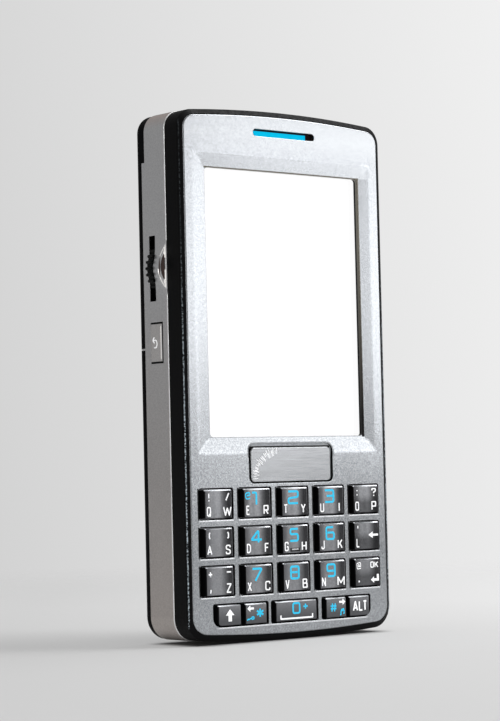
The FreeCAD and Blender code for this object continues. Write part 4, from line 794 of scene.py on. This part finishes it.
class Print:
    """A thin printed or raised piece that follows the surface under it.

    Its points are laid out flat in mm. The place function takes them into space, and from there
    they are carried inwards to the surface. Each stroke lies a little higher than the last one, and
    all reach down under the surface.
    """

    LAYER = 0.0015
    SUNK = -0.02
    RUN_UP = 20 * MM

    def __init__(self, target, place, inward, proud):
        mesh = target.data
        self.tree = BVHTree.FromPolygons([v.co for v in mesh.vertices], [p.vertices for p in mesh.polygons])
        self.place = place
        self.inward = Vector(inward)
        self.proud = proud
        self.points = []
        self.faces = []
        self.layer = 0

    def point(self, p, height):
        """Adds a point at a height over the surface and returns its number."""
        start = Vector(self.place(p.x, p.y)) * MM
        hit = self.tree.ray_cast(start - self.inward * self.RUN_UP, self.inward)[0]
        if hit is None:
            raise ValueError("print at %.2f %.2f misses its surface" % (p.x, p.y))
        self.points.append(hit - self.inward * height * MM)
        return len(self.points) - 1

    def next_height(self):
        self.layer += 1
        return self.proud + self.LAYER * self.layer

    def stroke(self, points, width, closed=False):
        """A flat line of one width."""
        high = self.next_height()
        left, right = ribbon(points, width, closed)
        rows = [
            (self.point(a, high), self.point(b, high), self.point(b, self.SUNK), self.point(a, self.SUNK))
            for a, b in zip(left, right)
        ]
        self.skin(rows, closed)

    def bead(self, points, width, height):
        """A raised line with a sloping face on each side."""
        left, right = ribbon(points, width, False)
        rows = [
            (self.point(a, 0), self.point(p, height), self.point(b, 0), self.point(p, self.SUNK))
            for a, p, b in zip(left, points, right)
        ]
        self.skin(rows)

    def skin(self, rows, closed=False):
        """Faces round a row of four-cornered sections."""
        for r, q in zip(rows, rows[1:] + rows[:1] if closed else rows[1:]):
            for i in range(4):
                j = (i + 1) % 4
                self.faces.append((r[i], r[j], q[j], q[i]))
        if not closed:
            self.faces.append(tuple(reversed(rows[0])))
            self.faces.append(tuple(rows[-1]))

    def glyph(self, name, x, z, width, height, line, corner=0.3, step=0.4):
        """A glyph centred at x, z. Its width and height are measured outside the strokes."""
        w, h = width - line, height - line
        for text in GLYPHS[name].split("|"):
            closed = text.endswith("z")
            pairs = [pair.split(",") for pair in text.rstrip("z ").split()]
            corners = [Vector((x + (float(a) - 0.5) * w, z + (float(b) - 0.5) * h)) for a, b in pairs]
            self.stroke(divided(rounded(corners, corner, closed), closed, step), line, closed)

    def shape(self, outline, x, z, width, height, turn=0):
        """A filled outline, centred at x, z and turned by some degrees."""
        high = self.next_height()
        c, s = math.cos(math.radians(turn)), math.sin(math.radians(turn))
        corners = []
        for a, b in outline:
            u, v = (a - 0.5) * width, (b - 0.5) * height
            corners.append(Vector((x + u * c - v * s, z + u * s + v * c)))
        corners = divided(corners, True, 0.4)
        top = [self.point(p, high) for p in corners]
        low = [self.point(p, self.SUNK) for p in corners]
        n = len(corners)
        for i in range(n):
            j = (i + 1) % n
            self.faces.append((top[i], top[j], low[j], low[i]))
        self.faces.append(tuple(reversed(top)))
        self.faces.append(tuple(low))

    def finish(self, name, body, slot, material):
        """Makes the piece and lets it ride on its body."""
        mesh = bpy.data.meshes.new(name)
        mesh.from_pydata(self.points, [], self.faces)
        work = bmesh.new()
        work.from_mesh(mesh)
        bmesh.ops.triangulate(work, faces=[f for f in work.faces if len(f.verts) > 4])
        bmesh.ops.recalc_face_normals(work, faces=work.faces)
        work.to_mesh(mesh)
        work.free()
        piece = bpy.data.objects.new(name, mesh)
        scene.collection.objects.link(piece)
        mesh.materials.append(material)
        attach(piece, body)


def ink(name, colour, painted_glow):
    """Printed ink: a little uneven, with a faint painted glow."""
    mat = principled(name, colour, 0.4, Emission_Color=(*colour, 1), Emission_Strength=painted_glow)
    vary(mat, 5000, 0.9, 1.08)
    bump(mat, 9000, 0.004)
    return mat


WHITE_INK = ink("white_ink", (0.9, 0.91, 0.92), 0.5)
BLUE_INK = ink("blue_ink", (0.01, 0.52, 0.8), 0.38)


# Prints on the keys, in mm from the middle of each key

LETTER_X, LETTER_Z = 2.35, -1.45
LETTER_HEIGHT, LETTER_LINE, LETTER_WIDTH = 1.9, 0.265, 1.17
SIGN_PLACES, SIGN_Z, HIGH_SIGN_Z, SIGN_LINE = (-2.3, 2.4), 1.4, 1.75, 0.28
DIGIT_X, DIGIT_Z = -0.2, 0.85
DIGIT_HEIGHT, DIGIT_LINE, DIGIT_WIDTH = 2.85, 0.44, 2.55

# The widths of letters and digits that aren't as wide as the rest, and the width and height of signs
WIDE = {"W": 1.95, "M": 1.75, "I": 0.5, "A": 1.4, "S": 1.12, "L": 1.0, "J": 1.0, "E": 0.98, "F": 0.98}
DIGIT_WIDE = {"1": 2.9, "2": 3.0, "3": 2.75, "4": 3.2, "7": 2.9}
SIGN_SIZES = {
    "!": (0.4, 1.7), "/": (0.95, 1.7), ":": (0.4, 1.5), "?": (1.1, 1.7), "(": (0.55, 1.5),
    ")": (0.55, 1.5), "'": (0.4, 0.95), "+": (1.25, 1.25), "-": (1.25, 0.35),
}
ROUND_LETTERS = "QOUSCGJ"


def key_print(name):
    """The white and the blue print of a key. The blue one is a little thicker."""
    white, blue = 0.018, 0.024
    x, z = middle(name)[::2]
    return [Print(nodes[name], lambda u, v: (x + u, 0, z + v), (0, 1, 0), proud) for proud in (white, blue)]


def finish_key(key, white, blue):
    """Makes the printed pieces that a key has."""
    for colour, piece, material, slot in (
        ("white", white, WHITE_INK, "card_white"),
        ("blue", blue, BLUE_INK, "cyan_plastic"),
    ):
        if piece.points:
            piece.finish("print_%s_%s" % (key, colour), "key_" + key, slot, material)


def letters(white, left, right):
    """The two letters in a key's lower corners."""
    for text, x in ((left, -LETTER_X), (right, LETTER_X)):
        if text:
            corner = 0.3 if text in ROUND_LETTERS else 0.1
            width = WIDE.get(text, LETTER_WIDTH)
            white.glyph(text, x, LETTER_Z, width, LETTER_HEIGHT, LETTER_LINE, corner)


def print_upper_keys():
    """The letter keys, each with its letters, its upper signs and its digit. A blank is an empty corner."""
    rows = (
        ("qw", "QW", "!/", ""),
        ("er", "ER", "", "1"),
        ("ty", "TY", "", "2"),
        ("ui", "UI", "", "3"),
        ("op", "OP", ":?", ""),
        ("as", "AS", "()", ""),
        ("df", "DF", "", "4"),
        ("gh", "GH", "", "5"),
        ("jk", "JK", "", "6"),
        ("l_back", "L", "'", ""),
        ("z", " Z", "+-", ""),
        ("xc", "XC", "", "7"),
        ("vb", "VB", "", "8"),
        ("nm", "NM", "", "9"),
        ("enter", "", "", ""),
    )
    for key, low, high, digit in rows:
        white, blue = key_print("key_" + key)
        letters(white, low[:1].strip(), low[1:])
        for text, x in zip(high, SIGN_PLACES):
            width, height = SIGN_SIZES[text]
            white.glyph(text, x, HIGH_SIGN_Z if text in "-'" else SIGN_Z, width, height, SIGN_LINE, 0.2)
        if digit:
            width = DIGIT_WIDE.get(digit, DIGIT_WIDTH)
            blue.glyph(digit, DIGIT_X, DIGIT_Z, width, DIGIT_HEIGHT, DIGIT_LINE, 0.42)
        if key == "er":
            blue.glyph("mail", -2.35, 1.45, 1.7, 1.6, 0.26, 0.5)
        if key == "l_back":
            white.shape(ARROW, 2.0, 0.1, 2.4, 1.35)
        if key == "z":
            white.glyph(",", -2.3, -1.95, 0.55, 1.0, 0.3, 0.1)
        if key == "enter":
            white.glyph("@", -2.3, 1.4, 1.5, 1.5, 0.17, 0.3)
            white.glyph(".", -2.3, -1.85, 0.4, 0.72, 0.38, 0.1)
            for text, x in (("O", 1.55), ("K", 2.6)):
                white.glyph(text, x, 1.5, 0.9, 1.3, 0.22, 0.2)
            white.shape(ENTER, 2.15, -1.4, 2.0, 1.8)
        finish_key(key, white, blue)


def print_lower_keys():
    """The five keys of the lower row."""
    pairs = {key: key_print("key_" + key) for key in ("shift", "star", "zero", "hash", "alt")}
    pairs["shift"][0].shape(SHIFT, 0, 0, 2.15, 2.4)
    white, blue = pairs["star"]
    white.shape(ARROW, -1.5, 1.05, 1.65, 1.3)
    blue.glyph("*", 0.95, 0.1, 2.35, 2.05, 0.4, 0.1)
    blue.glyph("key", -1.55, -0.95, 2.0, 1.05, 0.26, 0.2)
    white, blue = pairs["zero"]
    white.glyph("space", 0.0, -1.15, 8.8, 1.05, 0.32, 0.05)
    blue.glyph("0", -0.1, 0.5, 2.15, 2.4, 0.4, 0.42)
    blue.glyph("+", 2.35, 0.75, 1.45, 1.35, 0.32)
    white, blue = pairs["hash"]
    white.shape(ARROW, 1.65, 1.1, 1.7, 1.3, 180)
    blue.glyph("#", -0.8, 0.05, 1.85, 1.95, 0.3)
    blue.glyph("notes", 1.6, -0.95, 1.5, 1.5, 0.25, 0.05)
    white = pairs["alt"][0]
    for text, x in (("A", -1.2), ("L", 0.3), ("T", 1.5)):
        white.glyph(text, x, 0, 1.4 if text == "A" else 1.15, 2.15, 0.34, 0.1)
    for key, (white, blue) in pairs.items():
        finish_key(key, white, blue)


print_upper_keys()
print_lower_keys()


def sideways(name, y, z, proud):
    """A print on the phone's left side. The picture's left is the phone's back."""
    return Print(nodes[name], lambda u, v: (-27, y - u, z + v), (1, 0, 0), proud)


def print_back_key():
    """A return arrow on the back key."""
    icon = sideways("back_key", 2.2, BACK_KEY_MIDDLE + 0.1, 0.05)
    icon.glyph("back", 0, 0, 1.6, 2.3, 0.2, 0.3)
    icon.finish("back_key_mark", "back_key", "card_white", WHITE_INK)


def streak_plate():
    """Fine white strokes on the plate's left end, spread like a fan."""
    centre, start_angle, step_angle = Vector((-3.7, 32.9)), 92, 3.6
    streaks = Print(nodes["nameplate"], lambda u, v: (u, 0, v), (0, 1, 0), 0.006)
    chance = random.Random(5)
    for step in range(26):
        turn = math.radians(start_angle + step_angle * step + chance.uniform(-1.2, 1.2))
        ray = Vector((math.cos(turn) * 1.05, math.sin(turn) * 0.9))
        near, far = chance.uniform(4.6, 5.4), chance.uniform(5.9, 6.6)
        ends = [centre + ray * reach for reach in (near, far)]
        streaks.stroke(divided(ends, False, 0.4), chance.uniform(0.08, 0.16))
    streaks.finish("nameplate_scuffs", "root", "card_white", WHITE_INK)


def print_power_key():
    """The sign on the power key, on the phone's top."""
    x, y = middle("power_key")[:2]
    power = Print(nodes["power_key"], lambda u, v: (x + u, y - v, 108), (0, 0, -1), 0.01)
    power.glyph("power", 0, 0, 1.25, 1.15, 0.18, 0.2, 0.2)
    power.finish("power_key_mark", "power_key", "card_white", WHITE_INK)


print_back_key()
streak_plate()
print_power_key()


# Bright edges on the left side, with a painted glow

def painted_glow_edge():
    """Polished silver with a little painted glow."""
    mat = principled(
        "trim_lip", (0.93, 0.91, 0.89), 0.25,
        Metallic=0.9, Emission_Color=(1, 0.97, 0.93, 1), Emission_Strength=0.4,
    )
    vary(mat, 1500, 0.85, 1.05)
    bump(mat, 5000, 0.002)
    return mat


def trim_lips(material):
    """Lips round the lens-shaped trim, like a half-open eye: two on its curve and two on its front edge."""
    front = 2.0

    def curve(angle):
        return Vector((front - 1.35 * math.cos(angle) ** 1.3, TRIM_MIDDLE + 4.1 * math.sin(angle)))

    def edge(offset):
        return Vector((front, TRIM_MIDDLE + offset))

    for name, line, low, high, width, height in (
        ("outer_upper", curve, 0.55, 1.3, 0.2, 0.1),
        ("outer_lower", curve, -1.3, -0.1, 0.26, 0.14),
        ("edge_upper", edge, 1.8, 4.4, 0.2, 0.12),
        ("edge_lower", edge, -4.2, -0.6, 0.2, 0.12),
    ):
        lip = sideways("side_band", 0, 0, 0)
        lip.bead([line(low + (high - low) * k / 14) for k in range(15)], width, height)
        lip.finish("trim_lip_" + name, "root", "band_silver", material)


def back_key_edge(material):
    """A fine bead along the free edge of the back key."""
    length, steps = 6.6, 8
    edge = sideways("back_key", 0.2, BACK_KEY_MIDDLE - length / 2, 0)
    edge.bead([Vector((0, length * k / steps)) for k in range(steps + 1)], 0.28, 0.07)
    edge.finish("back_key_edge", "back_key", "band_silver", material)


PAINTED_GLOW_EDGE = painted_glow_edge()
trim_lips(PAINTED_GLOW_EDGE)
back_key_edge(PAINTED_GLOW_EDGE)


# Lamps, world and floor

LAMP_AIM = Vector((0, 0, 0.05))


def panel(name, azimuth, elevation, distance, width, height, radiance, roll=0.0):
    """A soft rectangular lamp, aimed at the phone's middle.

    Azimuth 0 is in front of the phone and 90 on its right. Angles are in degrees, and the distance,
    width and height are in metres.
    """
    data = bpy.data.lights.new(name, "AREA")
    data.shape = "RECTANGLE"
    data.size = width
    data.size_y = height
    data.energy = radiance * math.pi * width * height
    a, e = math.radians(azimuth), math.radians(elevation)
    away = Vector((math.sin(a) * math.cos(e), -math.cos(a) * math.cos(e), math.sin(e)))
    lamp = bpy.data.objects.new(name, data)
    lamp.location = LAMP_AIM + away * distance
    lamp.rotation_mode = "QUATERNION"
    lamp.rotation_quaternion = away.to_track_quat("Z", "Y") @ Quaternion((0, 0, 1), math.radians(roll))
    lamp.visible_camera = False
    scene.collection.objects.link(lamp)


panel("key_light", 35.5, -2, 0.51, 0.11, 0.044, 1.25)
panel("window_low", 40.4, 8.6, 0.515, 0.213, 0.145, 2.24, -7)
panel("window_side", 60.5, 9.9, 0.515, 0.155, 0.119, 2.1)
panel("window_sill", 41, 6.3, 0.515, 0.21, 0.08, 0.42, -8)
panel("margin_light", 51.5, -1.6, 0.51, 0.085, 0.045, 0.85)
panel("window_high", 45, 23, 0.545, 0.34, 0.09, 0.5, -6)
panel("high_side", 58, 50, 0.8, 0.36, 0.36, 6.5)
panel("slant", 46, 33, 0.6, 0.22, 0.09, 4)
panel("chamfer_light", 92, 50, 0.8, 0.2, 0.2, 4.2)
panel("ceiling", 0, 89, 0.9, 0.9, 0.9, 0.8)
panel("edge", -52, 14, 0.9, 0.12, 0.5, 2.6)


def make_world():
    """A grey room, with a paler wall for the camera and a soft patch in front for reflections."""
    patch_direction = (-0.105, -0.994, -0.02)
    world = bpy.data.worlds.new("room")
    scene.world = world
    world.use_nodes = True
    tree = world.node_tree
    tree.nodes.clear()
    out = tree.nodes.new("ShaderNodeOutputWorld")
    where = tree.nodes.new("ShaderNodeTexCoord").outputs["Generated"]
    path = tree.nodes.new("ShaderNodeLightPath").outputs

    def along(direction):
        dot = add(tree, "ShaderNodeVectorMath", operation="DOT_PRODUCT", i0=where, i1=direction)
        return dot.outputs["Value"]

    flat = Vector((LOOK.x, LOOK.y, 0)).normalized()
    beside = along(Vector((flat.y, -flat.x, 0)))
    brighter_up = ramp(tree, along((0, 0, 1)), -0.1, 0.2, 0.95, 1.01)
    wall_shade = times(tree, ramp(tree, beside, -0.12, 0.12, 0.665, 0.87), brighter_up)
    room = ramp(tree, along(flat), -0.5, 0.6, 0.24, 0.31, smooth=True)
    patch = ramp(tree, along(patch_direction), 0.927, 0.985, 0.0, 0.35, smooth=True)
    room = math_node(tree, "ADD", room, times(tree, patch, path["Is Glossy Ray"]))
    strength = add(tree, "ShaderNodeMix", data_type="FLOAT", i0=path["Is Camera Ray"], i2=room, i3=wall_shade)
    back = add(tree, "ShaderNodeBackground", Color=(1, 1, 1, 1), Strength=strength.outputs[0])
    tree.links.new(back.outputs[0], out.inputs[0])


make_world()


def floor_light(tree, x, y):
    """The floor's painted light: darker in front and on the left, and none close under the phone, a painted
    contact shadow.
    """
    half_width, half_depth = 22, 5
    from_x = most(tree, less(tree, absolute(tree, x), half_width), 0.0)
    from_y = most(tree, less(tree, absolute(tree, y), half_depth), 0.0)
    square = math_node(tree, "ADD", times(tree, from_x, from_x), times(tree, from_y, from_y))
    # Painted contact shadow: the floor gives no light close under the phone
    clear = ramp(tree, math_node(tree, "SQRT", square), 0.8, 6.0, smooth=True)
    aside = math_node(tree, "ADD", times(tree, x, LOOK.y), times(tree, y, -LOOK.x))
    back = math_node(tree, "ADD", times(tree, x, LOOK.x), times(tree, y, LOOK.y))
    # Painted light, darker in front and on the left
    rightwards = ramp(tree, aside, -60, 60)
    near = mix_colour(tree, rightwards, (0.62, 0.62, 0.62), (0.75, 0.75, 0.75))
    far = mix_colour(tree, rightwards, (0.7, 0.7, 0.7), (1, 1, 1))
    light = mix_colour(tree, ramp(tree, back, -50, 120), near, far)
    return mix_colour(tree, clear, (0.01, 0.01, 0.01), light)


def floor_card():
    """Pale card that fades away with the distance from the phone."""
    mat = principled(
        "floor_card", (0.42, 0.42, 0.42), 0.9,
        Specular_IOR_Level=0.1, Emission_Color=(1, 1, 1, 1), Emission_Strength=0.43,
    )
    tree = mat.node_tree
    x, y = position(tree)[:2]
    link(mat, "Emission Color", floor_light(tree, x, y))
    reach = math_node(tree, "SQRT", math_node(tree, "ADD", times(tree, x, x), times(tree, y, y)))
    empty = tree.nodes.new("ShaderNodeBsdfTransparent").outputs[0]
    card = tree.nodes["shader"].outputs[0]
    fade = ramp(tree, reach, 160, 400, smooth=True)
    both = add(tree, "ShaderNodeMixShader", i0=fade, i1=card, i2=empty)
    out = next(n for n in tree.nodes if n.type == "OUTPUT_MATERIAL")
    tree.links.new(both.outputs[0], out.inputs[0])
    return mat


def make_floor():
    """A round floor just under the phone."""
    steps, radius = 96, 1.6
    turns = [i * math.tau / steps for i in range(steps)]
    corners = [(radius * math.cos(turn), radius * math.sin(turn), 0) for turn in turns]
    mesh = bpy.data.meshes.new("floor")
    mesh.from_pydata(corners, [], [list(range(steps))])
    mesh.materials.append(floor_card())
    floor = bpy.data.objects.new("floor", mesh)
    floor.location = (0, 0, -0.1 * MM)
    scene.collection.objects.link(floor)


make_floor()
scene.view_settings.view_transform = "Standard"

bpy.context.view_layer.update()
